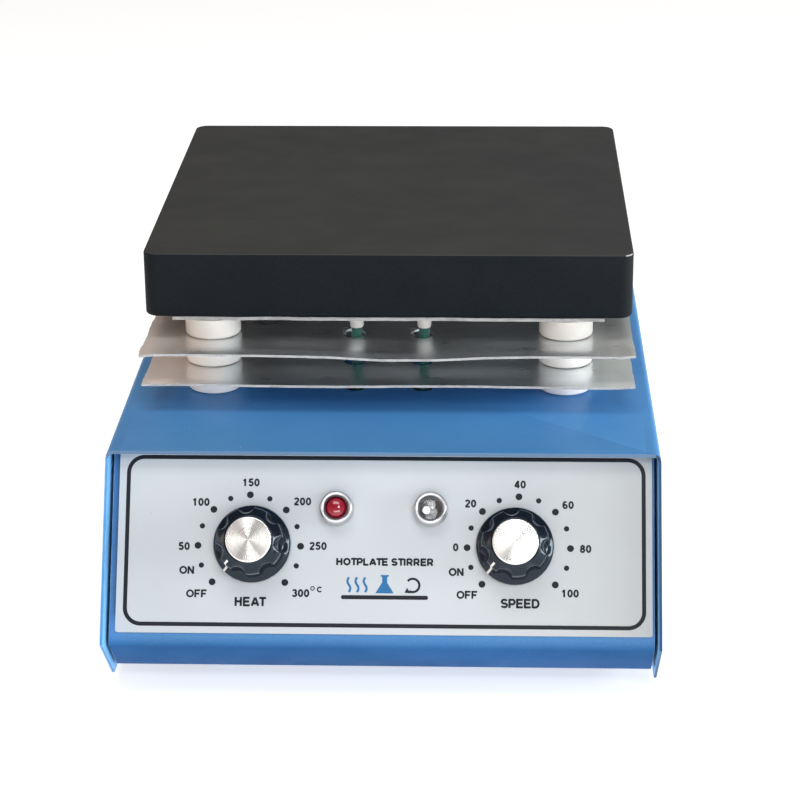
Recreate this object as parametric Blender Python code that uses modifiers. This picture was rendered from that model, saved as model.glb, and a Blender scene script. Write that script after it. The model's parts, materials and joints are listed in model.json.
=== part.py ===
"""Hotplate magnetic stirrer: a folded steel base with a sloped control panel, and a square cast plate
carried above it on ceramic spacers, with two aluminium heat shields between them.

Metres, +Z up, front towards -Y.  The origin is on the table, under the middle of the base.
"""
from math import cos, pi, radians, sin, sqrt, tan

import bmesh
import bpy
from mathutils import Vector

# ---------------------------------------------------------------- driving dimensions (metres)
GAP = 0.0003                    # clearance left between neighbouring pieces
SHEET = 0.0012                  # folded steel sheet of the base

BASE_WIDTH = 0.218
BASE_DEPTH = 0.310
COVER_TOP = 0.096               # table to the top of the base
COVER_FOOT = 0.0054             # table to the cover's lower edge
COVER_BEND = 0.0025

PANEL_LEAN = radians(31.05)     # how far the control panel leans back from upright
SLOPE_DEPTH = 0.0389            # the cover's sloped edge, from its top corner forward to its nose
NOSE_DROP = 0.0658              # cover top down to the nose
CHIN_DEPTH = 0.0251             # the nose back to the tip of the side plates
PANEL_RECESS = 0.0066           # faceplate behind the plane of the cover's sloped edges
DIAL_DROP = 0.0346              # cover top down to the line of the dial centres

CHASSIS_WIDTH = 0.2132
CHASSIS_BOTTOM = 0.0092
CHASSIS_TOP = COVER_TOP - SHEET - 2 * GAP
FOLD_BELOW_DIAL = 0.0392        # along the panel, dial line down to the fold of the chin
REAR_RECESS = 0.010             # rear panel inside the cover's rear edge
TOP_FLANGE = 0.012
REAR_FLANGE = 0.006              # short, to clear the rear bolt heads
SIDE_FLANGE = 0.016

FACE_SIZE = (0.2097, 0.0721)
FACE_CENTRE = (0.00085, 0.00175)
FACE_THICKNESS = 0.0008

SHAFT_X = {"heat": -0.0509, "speed": 0.0521}
SHAFT_RISE = 0.0006             # shafts above the printed dial centres
LAMP_X = {"heat": -0.0179, "power": 0.0190}
LAMP_RISE = 0.0149

PLATE_SIZE = 0.200
PLATE_THICKNESS = 0.0272
PLATE_SETBACK = 0.060           # the plate's front face behind the cover's top front edge
PLATE_CORNER = 0.0055
PLATE_EDGE = 0.0015
RECESS_SIZE = (0.176, 0.152)    # hollow underside of the casting
RECESS_DEPTH = 0.015
NOTCH_SIZE = (0.048, 0.020)     # front extension of the hollow, for the heater's ends

TIER = 0.012                    # one spacer and one shield
SHIELD_THICKNESS = 0.001
SHIELD_WIDTH = 0.2011
SHIELD_DEPTH = 0.226
SHIELD_SETBACK = 0.0383
SPACER_RADII = {"lower": 0.0109, "middle": 0.0111, "upper": 0.0111}
LEFT_SPACERS_WIDER = 0.0004     # on the radius
BOLT_X = 0.0732
BOLT_Y = 0.0879                 # bolts in front of and behind the plate's middle
BOLT_RADIUS = 0.003
BOLT_ENTRY = 0.010              # thread length inside the plate
UNDER_SHEET = 0.0014            # thin aluminium sheet under the plate
PLATE_RISE = 0.0346             # cover top to the plate's underside

LEAD_SPACING = 0.028
LEAD_MIDDLE = 0.0006
LEAD_HOLE_SHIFT = -0.0009
LEAD_HOLE_RADIUS = 0.0048
LEAD_RADIUS = 0.00225
BEAD_RADIUS = 0.0031
BEAD_BOTTOM = 0.0267            # above the cover top

KNOB_RADIUS = 0.0152
KNOB_HEIGHT = 0.0168
KNOB_LOBES = 7
KNOB_POINTER = radians(-135)    # one lobe points at OFF, clockwise from the top of the dial
GRIP_RADIUS = 0.0131
FLUTE_RADIUS = 0.0039           # round flutes cut between the lobes
CAP_RADIUS = 0.0089
SHAFT_RADIUS = 0.003
BUSH_RADIUS = 0.0047

MOTOR_RADIUS = 0.021
MOTOR_BOTTOM = 0.0245
BRACKET_TOP = 0.0755
BRACKET_SHEET = 0.0015
CARRIER_BOTTOM = 0.0800
CARRIER_RADIUS = 0.034
MAGNET_RADIUS = 0.0095
MAGNET_OFFSET = 0.021

INLET_X, FUSE_X, REAR_FITTING_Z = 0.066, 0.020, 0.048   # across the rear panel, as seen from behind
FUSE_RADIUS = 0.0060
INLET_BODY = (0.0270, 0.0200)
SOCKET = (0.0230, 0.0160, 0.0150)
VENT_WIDTH = 0.0036
REAR_VENTS = (6, 0.020, 0.011, 0.040, 0.074)    # count, first X, spacing, low Z, high Z
FLOOR_VENTS = (6, -0.020, 0.016, 0.057, 0.088)  # count, first Y, spacing, inner X, outer X

SCREW_Y = (-0.075, 0.115)
SCREW_Z = 0.0185
SCREW_RADIUS = 0.0015
FOOT_RADIUS = 0.011
FOOT_RECESS = 0.0045
FOOT_X, FOOT_Y, FEET_MIDDLE_Y = 0.086, 0.112, 0.012

LAMP_BARREL = 0.0049
LAMP_RING = 0.0068
LENS_RADIUS = 0.0043
NUT_RADIUS = 0.0066
MOTOR_SHAFT_RADIUS = 0.0025

# ---------------------------------------------------------------- places worked out from them
HALF_WIDTH = BASE_WIDTH / 2
REAR_Y = BASE_DEPTH / 2
NOSE_Y = -BASE_DEPTH / 2
TOP_EDGE_Y = NOSE_Y + SLOPE_DEPTH
NOSE_Z = COVER_TOP - NOSE_DROP
TIP_Y = NOSE_Y + CHIN_DEPTH

PANEL_NORMAL = Vector((0, -cos(PANEL_LEAN), sin(PANEL_LEAN)))
PANEL_UP = Vector((0, sin(PANEL_LEAN), cos(PANEL_LEAN)))
DIAL_Z = COVER_TOP - DIAL_DROP
DIAL_Y = TOP_EDGE_Y - DIAL_DROP * tan(PANEL_LEAN) + PANEL_RECESS / cos(PANEL_LEAN)
CHASSIS_FACE = -(FACE_THICKNESS + GAP)          # along the panel's normal
REAR_PANEL_Y = REAR_Y - REAR_RECESS

PLATE_Y = TOP_EDGE_Y + PLATE_SETBACK + PLATE_SIZE / 2
PLATE_BOTTOM = COVER_TOP + PLATE_RISE
SHIELD_Y = TOP_EDGE_Y + SHIELD_SETBACK + SHIELD_DEPTH / 2
SHIELD_BOTTOMS = {"lower": COVER_TOP + TIER - SHIELD_THICKNESS,
                  "upper": COVER_TOP + 2 * TIER - SHIELD_THICKNESS}
SPACER_SPANS = {"lower": (COVER_TOP, SHIELD_BOTTOMS["lower"]),
                "middle": (COVER_TOP + TIER, SHIELD_BOTTOMS["upper"]),
                "upper": (COVER_TOP + 2 * TIER, PLATE_BOTTOM - GAP - UNDER_SHEET)}
CORNERS = {"front_left": (-1, -1), "front_right": (1, -1), "rear_left": (-1, 1), "rear_right": (1, 1)}
LEAD_Y = PLATE_Y - BOLT_Y - 0.0005
LEAD_X = {"left": LEAD_MIDDLE - LEAD_SPACING / 2, "right": LEAD_MIDDLE + LEAD_SPACING / 2}


# ---------------------------------------------------------------- scene and materials
for old in list(bpy.data.objects):
    bpy.data.objects.remove(old, do_unlink=True)

PARTS = bpy.data.collections.new("hotplate_stirrer")
CUTTERS = bpy.data.collections.new("cutters")
for collection in (PARTS, CUTTERS):
    bpy.context.scene.collection.children.link(collection)


def material(name, colour, roughness, metallic=0.0):
    made = bpy.data.materials.new(name)
    made.use_nodes = True
    shader = made.node_tree.nodes["Principled BSDF"]
    shader.inputs["Base Color"].default_value = (*colour, 1.0)
    shader.inputs["Roughness"].default_value = roughness
    shader.inputs["Metallic"].default_value = metallic
    return made


BLUE = material("blue_powder_coat", (0.075, 0.21, 0.47), 0.45)
SILVER_FACE = material("silver_faceplate", (0.66, 0.69, 0.72), 0.45, 0.3)
BLACK_CAST = material("black_coated_casting", (0.02, 0.022, 0.025), 0.55)
ALUMINIUM = material("aluminium_sheet", (0.62, 0.62, 0.62), 0.35, 1.0)
CERAMIC = material("white_ceramic", (0.86, 0.83, 0.79), 0.5)
STEEL = material("plated_steel", (0.55, 0.55, 0.55), 0.3, 1.0)
CHROME = material("chrome", (0.8, 0.8, 0.8), 0.1, 1.0)
BLACK_GLOSS = material("black_gloss_plastic", (0.01, 0.01, 0.012), 0.15)
BLACK_MATT = material("black_matt_plastic", (0.02, 0.02, 0.02), 0.6)
SPUN_CAP = material("spun_aluminium", (0.85, 0.85, 0.85), 0.25, 1.0)
RED_LENS = material("red_lens", (0.5, 0.0, 0.02), 0.1)
CLEAR_LENS = material("clear_lens", (0.7, 0.7, 0.68), 0.1)
GREEN_SLEEVE = material("green_sleeve", (0.0, 0.17, 0.12), 0.7)
RUBBER = material("black_rubber", (0.015, 0.015, 0.015), 0.8)
FIBRE_BOARD = material("fibre_board", (0.75, 0.72, 0.65), 0.9)
CIRCUIT_GREEN = material("circuit_board", (0.02, 0.2, 0.07), 0.5)
FERRITE = material("ferrite", (0.05, 0.05, 0.055), 0.5)


# ---------------------------------------------------------------- helpers
def place(name, mesh, look, parent=None, location=(0, 0, 0), rotation=(0, 0, 0), smooth=False):
    """Make the named part from a mesh."""
    made = bpy.data.objects.new(name, mesh)
    PARTS.objects.link(made)
    made.parent = parent
    made.location = location
    made.rotation_euler = rotation
    made.data.materials.clear()
    made.data.materials.append(look)
    if smooth:
        mesh.shade_smooth()
        mesh.set_sharp_from_angle(angle=radians(35))
    return made


def as_cutter(tool):
    """Turn a part into a cutter that the build leaves out."""
    PARTS.objects.unlink(tool)
    CUTTERS.objects.link(tool)
    tool.hide_render = True
    tool.display_type = 'WIRE'
    return tool


def cut(part, tool, operation='DIFFERENCE'):
    change = part.modifiers.new(operation.lower(), 'BOOLEAN')
    change.operation = operation
    change.solver = 'EXACT'
    change.object = as_cutter(tool)


def box_mesh(name, low, high):
    """A box between two corners."""
    low, high = Vector(low), Vector(high)
    bm = bmesh.new()
    bmesh.ops.create_cube(bm, size=1.0)
    size, middle = high - low, (high + low) / 2
    for vert in bm.verts:
        vert.co = Vector(c * s for c, s in zip(vert.co, size)) + middle
    mesh = bpy.data.meshes.new(name)
    bm.to_mesh(mesh)
    bm.free()
    return mesh


def box(name, low, high, look, parent=None):
    return place(name, box_mesh(name, low, high), look, parent)


def round_upright_edges(part, radius, segments):
    """Mark a box's upright edges and round only those."""
    bm = bmesh.new()
    bm.from_mesh(part.data)
    weights = bm.edges.layers.float.new("bevel_weight_edge")
    for edge in bm.edges:
        along = (edge.verts[0].co - edge.verts[1].co).normalized()
        edge[weights] = 1.0 if abs(along.z) > 0.99 else 0.0
    bm.to_mesh(part.data)
    bm.free()
    bevel = part.modifiers.new("upright edges", 'BEVEL')
    bevel.limit_method = 'WEIGHT'
    bevel.width = radius
    bevel.segments = segments


def round_edges(part, radius, segments, angle=radians(40)):
    bevel = part.modifiers.new("edges", 'BEVEL')
    bevel.limit_method = 'ANGLE'
    bevel.angle_limit = angle
    bevel.width = radius
    bevel.segments = segments


def turned(name, profile, look, parent=None, location=(0, 0, 0), rotation=(0, 0, 0), steps=32):
    """Turn (radius, height) points about the local Z axis; the outer side runs from top to bottom.

    A profile that starts and ends on the axis is left open; any other is closed into a ring."""
    count = len(profile)
    on_axis = profile[0][0] == 0 and profile[-1][0] == 0
    edges = [(i, i + 1) for i in range(count - 1)]
    if not on_axis:
        edges.append((count - 1, 0))
    mesh = bpy.data.meshes.new(name)
    mesh.from_pydata([(radius, 0, height) for radius, height in profile], edges, [])
    made = place(name, mesh, look, parent, location, rotation)
    screw = made.modifiers.new("turn", 'SCREW')
    screw.steps = screw.render_steps = steps
    screw.use_merge_vertices = True
    screw.merge_threshold = 0.00001
    screw.use_smooth_shade = True
    return made


def hole(part, radius, low, high, x, y, parent=None, steps=24, rotation=(0, 0, 0)):
    """Drill a round hole along the local Z of the parent, from low to high."""
    tool = turned(part.name + "_drill", [(0, high), (radius, high), (radius, low), (0, low)], STEEL,
                  parent, (x, y, 0), rotation, steps)
    cut(part, tool)


def folded(name, outline, across, half_length, look, thickness, bend, bend_segments=2):
    """A sheet folded along an outline of (a, z) points and extruded across X or Y.

    With across 'X' the outline's a is Y; with across 'Y' it is X.  The outline runs along the outer
    face, from left to right over the top, and the sheet thickens inwards."""
    bm = bmesh.new()
    rows = []
    for end in (-half_length, half_length):
        row = []
        for a, z in outline:
            row.append(bm.verts.new((end, a, z) if across == 'X' else (a, end, z)))
        rows.append(row)
    for i in range(len(outline) - 1):
        bm.faces.new((rows[0][i], rows[0][i + 1], rows[1][i + 1], rows[1][i]))
    mesh = bpy.data.meshes.new(name)
    bm.to_mesh(mesh)
    bm.free()
    made = place(name, mesh, look)
    round_edges(made, bend, bend_segments, radians(20))
    shell = made.modifiers.new("sheet", 'SOLIDIFY')
    shell.thickness = thickness
    shell.offset = -1
    shell.use_even_offset = True
    return made


def tube(name, points, radius, look, parent=None):
    """A round rod along a list of points."""
    curve = bpy.data.curves.new(name, 'CURVE')
    curve.dimensions = '3D'
    curve.bevel_depth = radius
    curve.bevel_resolution = 2
    curve.use_fill_caps = True
    spline = curve.splines.new('POLY')
    spline.points.add(len(points) - 1)
    for point, place_at in zip(spline.points, points):
        point.co = (*place_at, 1.0)
    made = bpy.data.objects.new(name, curve)
    PARTS.objects.link(made)
    made.parent = parent
    curve.materials.append(look)
    return made


def smooth_path(anchors, count):
    """Points of a Catmull-Rom curve through the anchors, evenly spread over them."""
    anchors = [Vector(a) for a in anchors]
    padded = [2 * anchors[0] - anchors[1]] + anchors + [2 * anchors[-1] - anchors[-2]]
    points = []
    spans = len(anchors) - 1
    for i in range(count):
        t = i * spans / (count - 1)
        k = min(int(t), spans - 1)
        t -= k
        a, b, c, d = padded[k:k + 4]
        points.append(0.5 * (2 * b + (c - a) * t + (2 * a - 5 * b + 4 * c - d) * t * t
                             + (3 * b - a - 3 * c + d) * t ** 3))
    return points


def empty(name, location, rotation=(0, 0, 0), parent=None):
    made = bpy.data.objects.new(name, None)
    PARTS.objects.link(made)
    made.parent = parent
    made.location = location
    made.rotation_euler = rotation
    return made


# The panel's own frame: X across, Y up the slope, Z out of the panel, at the middle of the dial line.
PANEL = empty("panel_frame", (0, DIAL_Y, DIAL_Z), (pi / 2 - PANEL_LEAN, 0, 0))
# The rear panel's own frame: Z out of the rear, Y up.
REAR = empty("rear_frame", (0, REAR_PANEL_Y, REAR_FITTING_Z), (-pi / 2, pi, 0))


# ---------------------------------------------------------------- base
def outer_cover():
    """The top and both sides in one folded sheet, cut to the slope of the panel at its front."""
    outline = [(-HALF_WIDTH, COVER_FOOT), (-HALF_WIDTH, COVER_TOP),
               (HALF_WIDTH, COVER_TOP), (HALF_WIDTH, COVER_FOOT)]
    cover = folded("outer_cover", outline, 'Y', BASE_DEPTH / 2, BLUE, SHEET, COVER_BEND, 3)
    beyond = 0.05
    front = [(NOSE_Y - beyond, COVER_TOP + beyond), (TOP_EDGE_Y, COVER_TOP + beyond), (TOP_EDGE_Y, COVER_TOP),
             (NOSE_Y, NOSE_Z), (TIP_Y, COVER_FOOT), (TIP_Y, -beyond), (NOSE_Y - beyond, -beyond)]
    bm = bmesh.new()
    verts = [bm.verts.new((-HALF_WIDTH - beyond, y, z)) for y, z in front]
    face = bm.faces.new(verts)
    swept = bmesh.ops.extrude_face_region(bm, geom=[face])
    moved = [g for g in swept["geom"] if isinstance(g, bmesh.types.BMVert)]
    bmesh.ops.translate(bm, vec=(BASE_WIDTH + 2 * beyond, 0, 0), verts=moved)
    bmesh.ops.recalc_face_normals(bm, faces=bm.faces)
    mesh = bpy.data.meshes.new("cover_front_cut")
    bm.to_mesh(mesh)
    bm.free()
    cut(cover, place("cover_front_cut", mesh, BLUE))
    low, high = COVER_TOP - 0.01, COVER_TOP + 0.01
    for sx, sy in CORNERS.values():
        hole(cover, BOLT_RADIUS + GAP, low, high, sx * BOLT_X, PLATE_Y + sy * BOLT_Y, steps=12)
    for x in LEAD_X.values():
        hole(cover, LEAD_HOLE_RADIUS, low, high, x + LEAD_HOLE_SHIFT, LEAD_Y)
    for side in (-1, 1):
        for y in SCREW_Y:
            side_hole(cover, side, y)


def side_hole(part, side, y):
    """A screw hole through the side of the cover or the chassis."""
    radius, reach = SCREW_RADIUS + GAP, 0.01
    profile = [(0, reach), (radius, reach), (radius, -reach), (0, -reach)]
    cut(part, turned(part.name + "_side_drill", profile, STEEL, None,
                     (side * (HALF_WIDTH - SHEET), y, SCREW_Z), (0, pi / 2, 0), 12))


def chassis():
    """Panel, chin, floor and rear wall in one folded sheet, with low flanges along both sides."""
    face = Vector((0, DIAL_Y, DIAL_Z)) + CHASSIS_FACE * PANEL_NORMAL
    top = face + PANEL_UP * (CHASSIS_TOP - face.z) / PANEL_UP.z
    fold = face - PANEL_UP * FOLD_BELOW_DIAL
    chin = (fold.y + fold.z - CHASSIS_BOTTOM, CHASSIS_BOTTOM)
    outline = [(top.y + TOP_FLANGE, CHASSIS_TOP), (top.y, CHASSIS_TOP), (fold.y, fold.z), chin,
               (REAR_PANEL_Y, CHASSIS_BOTTOM), (REAR_PANEL_Y, CHASSIS_TOP),
               (REAR_PANEL_Y - REAR_FLANGE, CHASSIS_TOP)]
    base = folded("chassis", outline, 'X', CHASSIS_WIDTH / 2, BLUE, SHEET, 0.0016)
    inset = 0.0002
    outer = CHASSIS_WIDTH / 2 - inset
    for side in (-1, 1):
        near, far = sorted((side * outer, side * (outer - SHEET)))
        flange = box("side_flange", (near, chin[0] + 0.006, CHASSIS_BOTTOM + SHEET / 2),
                     (far, REAR_PANEL_Y - 0.004, CHASSIS_BOTTOM + SIDE_FLANGE), BLUE)
        cut(base, flange, 'UNION')
        for y in SCREW_Y:
            side_hole(base, side, y)
    panel_holes(base, -0.006, 0.004)
    hole(base, FUSE_RADIUS + GAP, -0.006, 0.004, FUSE_X, 0, REAR)
    half_width, half_height = INLET_BODY[0] / 2 + GAP, INLET_BODY[1] / 2 + GAP
    cut(base, box("inlet_opening", (INLET_X - half_width, -half_height, -0.006),
                  (INLET_X + half_width, half_height, 0.004), BLUE, REAR))
    through, half = 0.006, VENT_WIDTH / 2
    count, first, spacing, low, high = REAR_VENTS
    for i in range(count):
        x = first + spacing * i
        cut(base, box("rear_vent", (x - half, REAR_PANEL_Y - through, low),
                      (x + half, REAR_PANEL_Y + through, high), BLUE))
    count, first, spacing, inner, outer = FLOOR_VENTS
    for i in range(count):
        y = first + spacing * i
        for left, right in ((-outer, -inner), (inner, outer)):
            cut(base, box("floor_vent", (left, y - half, CHASSIS_BOTTOM - through),
                          (right, y + half, CHASSIS_BOTTOM + through), BLUE))


def panel_holes(part, low, high):
    """The holes for the two shaft bushes and the two lamps."""
    for x in SHAFT_X.values():
        hole(part, BUSH_RADIUS + GAP, low, high, x, SHAFT_RISE, PANEL)
    for x in LAMP_X.values():
        hole(part, LAMP_BARREL + GAP, low, high, x, LAMP_RISE, PANEL)


def faceplate():
    (width, height), (x, y) = FACE_SIZE, FACE_CENTRE
    plate = box("faceplate", (x - width / 2, y - height / 2, -FACE_THICKNESS),
                (x + width / 2, y + height / 2, 0), SILVER_FACE, PANEL)
    round_upright_edges(plate, 0.001, 3)
    panel_holes(plate, -0.004, 0.004)


def feet():
    """Rubber feet with a countersunk recess in the underside."""
    height = CHASSIS_BOTTOM - GAP
    profile = [(0, height), (FOOT_RADIUS * 0.82, height), (FOOT_RADIUS, height - 0.0012),
               (FOOT_RADIUS, 0.0012), (FOOT_RADIUS - 0.0012, 0), (FOOT_RECESS, 0),
               (FOOT_RECESS, 0.004), (0, 0.004)]
    for corner, (sx, sy) in CORNERS.items():
        turned("foot_" + corner, profile, RUBBER, None,
               (sx * FOOT_X, FEET_MIDDLE_Y + sy * FOOT_Y, 0), steps=20)


def cover_screws():
    """Pan-head screws that hold the cover's sides to the chassis flanges."""
    head, length = 0.0030, 0.0065
    profile = [(0, 0.0020), (head * 0.6, 0.0018), (head, 0.0008), (head, GAP), (SCREW_RADIUS, GAP),
               (SCREW_RADIUS, -length), (0, -length)]
    for side, turn in (("left", -pi / 2), ("right", pi / 2)):
        for end, y in zip(("front", "rear"), SCREW_Y):
            x = HALF_WIDTH if side == "right" else -HALF_WIDTH
            turned("cover_screw_%s_%s" % (side, end), profile, STEEL, None, (x, y, SCREW_Z), (0, turn, 0), 12)


# ---------------------------------------------------------------- plate, shields and spacers
def hot_plate():
    """The square casting, hollow underneath, with a blind thread over each spacer."""
    half = PLATE_SIZE / 2
    plate = box("hot_plate", (-half, PLATE_Y - half, PLATE_BOTTOM),
                (half, PLATE_Y + half, PLATE_BOTTOM + PLATE_THICKNESS), BLACK_CAST)
    round_upright_edges(plate, PLATE_CORNER, 5)
    round_edges(plate, PLATE_EDGE, 2, radians(60))
    (width, depth), (notch_width, notch_depth) = RECESS_SIZE, NOTCH_SIZE
    ceiling = PLATE_BOTTOM + RECESS_DEPTH
    hollow = box("plate_hollow", (-width / 2, PLATE_Y - depth / 2, PLATE_BOTTOM - 0.01),
                 (width / 2, PLATE_Y + depth / 2, ceiling), BLACK_CAST)
    notch = box("plate_notch", (-notch_width / 2, PLATE_Y - depth / 2 - notch_depth, PLATE_BOTTOM - 0.01),
                (notch_width / 2, PLATE_Y - depth / 2 + 0.01, ceiling), BLACK_CAST)
    cut(plate, hollow)
    cut(plate, notch)
    for sx, sy in CORNERS.values():
        hole(plate, BOLT_RADIUS + GAP, PLATE_BOTTOM - 0.01, PLATE_BOTTOM + BOLT_ENTRY,
             sx * BOLT_X, PLATE_Y + sy * BOLT_Y, steps=12)


def heating_element():
    """One sheathed rod laid in loops under the plate; both ends turn down at the front."""
    rod = 0.0035
    high = PLATE_BOTTOM + RECESS_DEPTH - rod - GAP
    low = PLATE_BOTTOM + 0.0034
    side = [(LEAD_SPACING / 2, LEAD_Y, low), (LEAD_SPACING / 2, LEAD_Y + 0.001, high - 0.003),
            (LEAD_SPACING / 2 + 0.001, LEAD_Y + 0.007, high), (0.018, PLATE_Y - 0.062, high),
            (0.030, PLATE_Y - 0.068, high), (0.070, PLATE_Y - 0.066, high), (0.080, PLATE_Y - 0.050, high),
            (0.080, PLATE_Y + 0.050, high), (0.068, PLATE_Y + 0.067, high), (0.056, PLATE_Y + 0.052, high),
            (0.055, PLATE_Y - 0.030, high), (0.042, PLATE_Y - 0.044, high), (0.029, PLATE_Y - 0.030, high),
            (0.028, PLATE_Y + 0.045, high)]
    middle = (0, PLATE_Y + 0.066, high)
    mirrored = [(-x, y, z) for x, y, z in reversed(side)]
    path = smooth_path(side + [middle] + mirrored, 66)
    path = [(x + LEAD_MIDDLE, y, z) for x, y, z in path]
    tube("heating_element", path, rod, STEEL)


def heater_insulation():
    width, depth = RECESS_SIZE
    margin = 0.002
    box("heater_insulation", (-width / 2 + margin, PLATE_Y - depth / 2 + margin, PLATE_BOTTOM + GAP),
        (width / 2 - margin, PLATE_Y + depth / 2 - margin, PLATE_BOTTOM + 0.0065), FIBRE_BOARD)


def bolted_sheet(name, low, high, lead_radius):
    """A flat aluminium sheet with four bolt holes and two holes for the heater leads."""
    sheet = box(name, low, high, ALUMINIUM)
    round_upright_edges(sheet, 0.0015, 2)
    below, above = low[2] - 0.004, high[2] + 0.004
    for sx, sy in CORNERS.values():
        hole(sheet, BOLT_RADIUS + GAP, below, above, sx * BOLT_X, PLATE_Y + sy * BOLT_Y, steps=12)
    for x in LEAD_X.values():
        shift = LEAD_HOLE_SHIFT if lead_radius == LEAD_HOLE_RADIUS else 0
        hole(sheet, lead_radius, below, above, x + shift, LEAD_Y)


def shields():
    half = SHIELD_WIDTH / 2
    for level, bottom in SHIELD_BOTTOMS.items():
        bolted_sheet(level + "_heat_shield", (-half, SHIELD_Y - SHIELD_DEPTH / 2, bottom),
                     (half, SHIELD_Y + SHIELD_DEPTH / 2, bottom + SHIELD_THICKNESS), LEAD_HOLE_RADIUS)
    top, half = PLATE_BOTTOM - GAP, PLATE_SIZE / 2
    bolted_sheet("plate_bottom_sheet", (-half + 0.0112, PLATE_Y - half + 0.001, top - UNDER_SHEET),
                 (half - 0.0112, PLATE_Y + half - 0.006, top), BEAD_RADIUS + GAP)


def spacers():
    bore = BOLT_RADIUS + GAP
    for tier, (low, high) in SPACER_SPANS.items():
        low, high = low + GAP, high - GAP
        for corner, (sx, sy) in CORNERS.items():
            radius = SPACER_RADII[tier] + (LEFT_SPACERS_WIDER if sx < 0 else 0)
            profile = [(bore, high), (radius, high), (radius, low), (bore, low)]
            turned("spacer_%s_%s" % (tier, corner), profile, CERAMIC, None,
                   (sx * BOLT_X, PLATE_Y + sy * BOLT_Y, 0), steps=24)


def plate_bolts():
    """Hexagon bolts from inside the base, up through the spacers into the plate."""
    head_top = COVER_TOP - SHEET - GAP
    head_bottom = head_top - 0.004
    for corner, (sx, sy) in CORNERS.items():
        x, y = sx * BOLT_X, PLATE_Y + sy * BOLT_Y
        tip = PLATE_BOTTOM + BOLT_ENTRY - GAP
        bolt = turned("plate_bolt_" + corner,
                      [(0, tip), (BOLT_RADIUS, tip), (BOLT_RADIUS, head_top - 0.002), (0, head_top - 0.002)],
                      STEEL, None, (x, y, 0), steps=12)
        head = turned("bolt_head",
                      [(0, head_top), (0.0058, head_top), (0.0058, head_bottom), (0, head_bottom)],
                      STEEL, None, (x, y, 0), steps=6)
        cut(bolt, head, 'UNION')


def heater_leads():
    """White ceramic insulators on the heater's ends, then green woven sleeves down into the base."""
    bead_low, bead_top = COVER_TOP + BEAD_BOTTOM, PLATE_BOTTOM + 0.0030
    inside = COVER_TOP - 0.020
    ends = {"left": [(-0.022, LEAD_Y - 0.022, inside - 0.010), (-0.036, LEAD_Y - 0.032, inside - 0.019)],
            "right": [(0.030, LEAD_Y - 0.004, inside - 0.030), (0.040, LEAD_Y - 0.008, inside - 0.0405)]}
    for side, x in LEAD_X.items():
        turned("lead_insulator_" + side,
               [(0, bead_top), (BEAD_RADIUS * 0.9, bead_top), (BEAD_RADIUS, bead_top - 0.001),
                (BEAD_RADIUS, bead_low + 0.003), (BEAD_RADIUS * 0.9, bead_low), (0, bead_low)],
               CERAMIC, None, (x, LEAD_Y, 0), steps=20)
        route = [(x, LEAD_Y, bead_low - GAP), (x, LEAD_Y, COVER_TOP + 0.010), (x, LEAD_Y, inside)]
        route += ends[side]
        tube("lead_sleeve_" + side, smooth_path(route, 16), LEAD_RADIUS, GREEN_SLEEVE)


# ---------------------------------------------------------------- controls
def grip_reach(angle, radius, depth):
    """How far out the grip goes at an angle: to its radius on a lobe, and less in a round flute."""
    pitch = 2 * pi / KNOB_LOBES
    off_flute = (angle - KNOB_POINTER) % pitch - pitch / 2
    centre = radius - depth + FLUTE_RADIUS
    aside = centre * sin(off_flute)
    if abs(aside) >= FLUTE_RADIUS:
        return radius
    return min(radius, centre * cos(off_flute) - sqrt(FLUTE_RADIUS ** 2 - aside ** 2))


def knob(name, axis):
    """A skirted knob with a fluted grip, hollow underneath for the nut, and a bore for the shaft."""
    count = KNOB_LOBES * 8

    def ring(bm, radius, height, flute=0.0):
        made = []
        for i in range(count):
            angle = KNOB_POINTER + 2 * pi * i / count
            r = grip_reach(angle, radius, flute)
            made.append(bm.verts.new((r * sin(angle), r * cos(angle), height)))
        return made

    bore, root, hollow = SHAFT_RADIUS + GAP, 0.0042, 0.0085
    under, seat, rim = 0.0008, KNOB_HEIGHT - 0.0008, 0.0138
    bm = bmesh.new()
    rings = [ring(bm, bore, 0.0125), ring(bm, bore, root), ring(bm, hollow, root), ring(bm, hollow, under),
             ring(bm, KNOB_RADIUS - 0.0003, under), ring(bm, KNOB_RADIUS, under + 0.0004),
             ring(bm, KNOB_RADIUS, 0.0022), ring(bm, GRIP_RADIUS + 0.0003, 0.0038),
             ring(bm, GRIP_RADIUS, root, 0.0016), ring(bm, GRIP_RADIUS, rim, 0.0020),
             ring(bm, GRIP_RADIUS - 0.0006, rim + 0.0006, 0.0018),
             ring(bm, CAP_RADIUS + 0.0009, KNOB_HEIGHT - 0.0002),
             ring(bm, CAP_RADIUS + 0.0006, KNOB_HEIGHT), ring(bm, CAP_RADIUS + GAP, KNOB_HEIGHT),
             ring(bm, CAP_RADIUS + GAP, seat)]
    for lower, upper in zip(rings, rings[1:]):
        for i in range(count):
            j = (i + 1) % count
            bm.faces.new((lower[i], lower[j], upper[j], upper[i]))
    bm.faces.new(rings[0])
    bm.faces.new(rings[-1])
    bmesh.ops.recalc_face_normals(bm, faces=bm.faces)
    mesh = bpy.data.meshes.new(name)
    bm.to_mesh(mesh)
    bm.free()
    place(name, mesh, BLACK_GLOSS, axis, smooth=True)
    low, high = seat + GAP, KNOB_HEIGHT + 0.0009
    turned(name + "_cap", [(0, high), (CAP_RADIUS - 0.0006, high), (CAP_RADIUS, high - 0.0004),
                           (CAP_RADIUS, low), (0, low)], SPUN_CAP, axis, steps=40)


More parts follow.
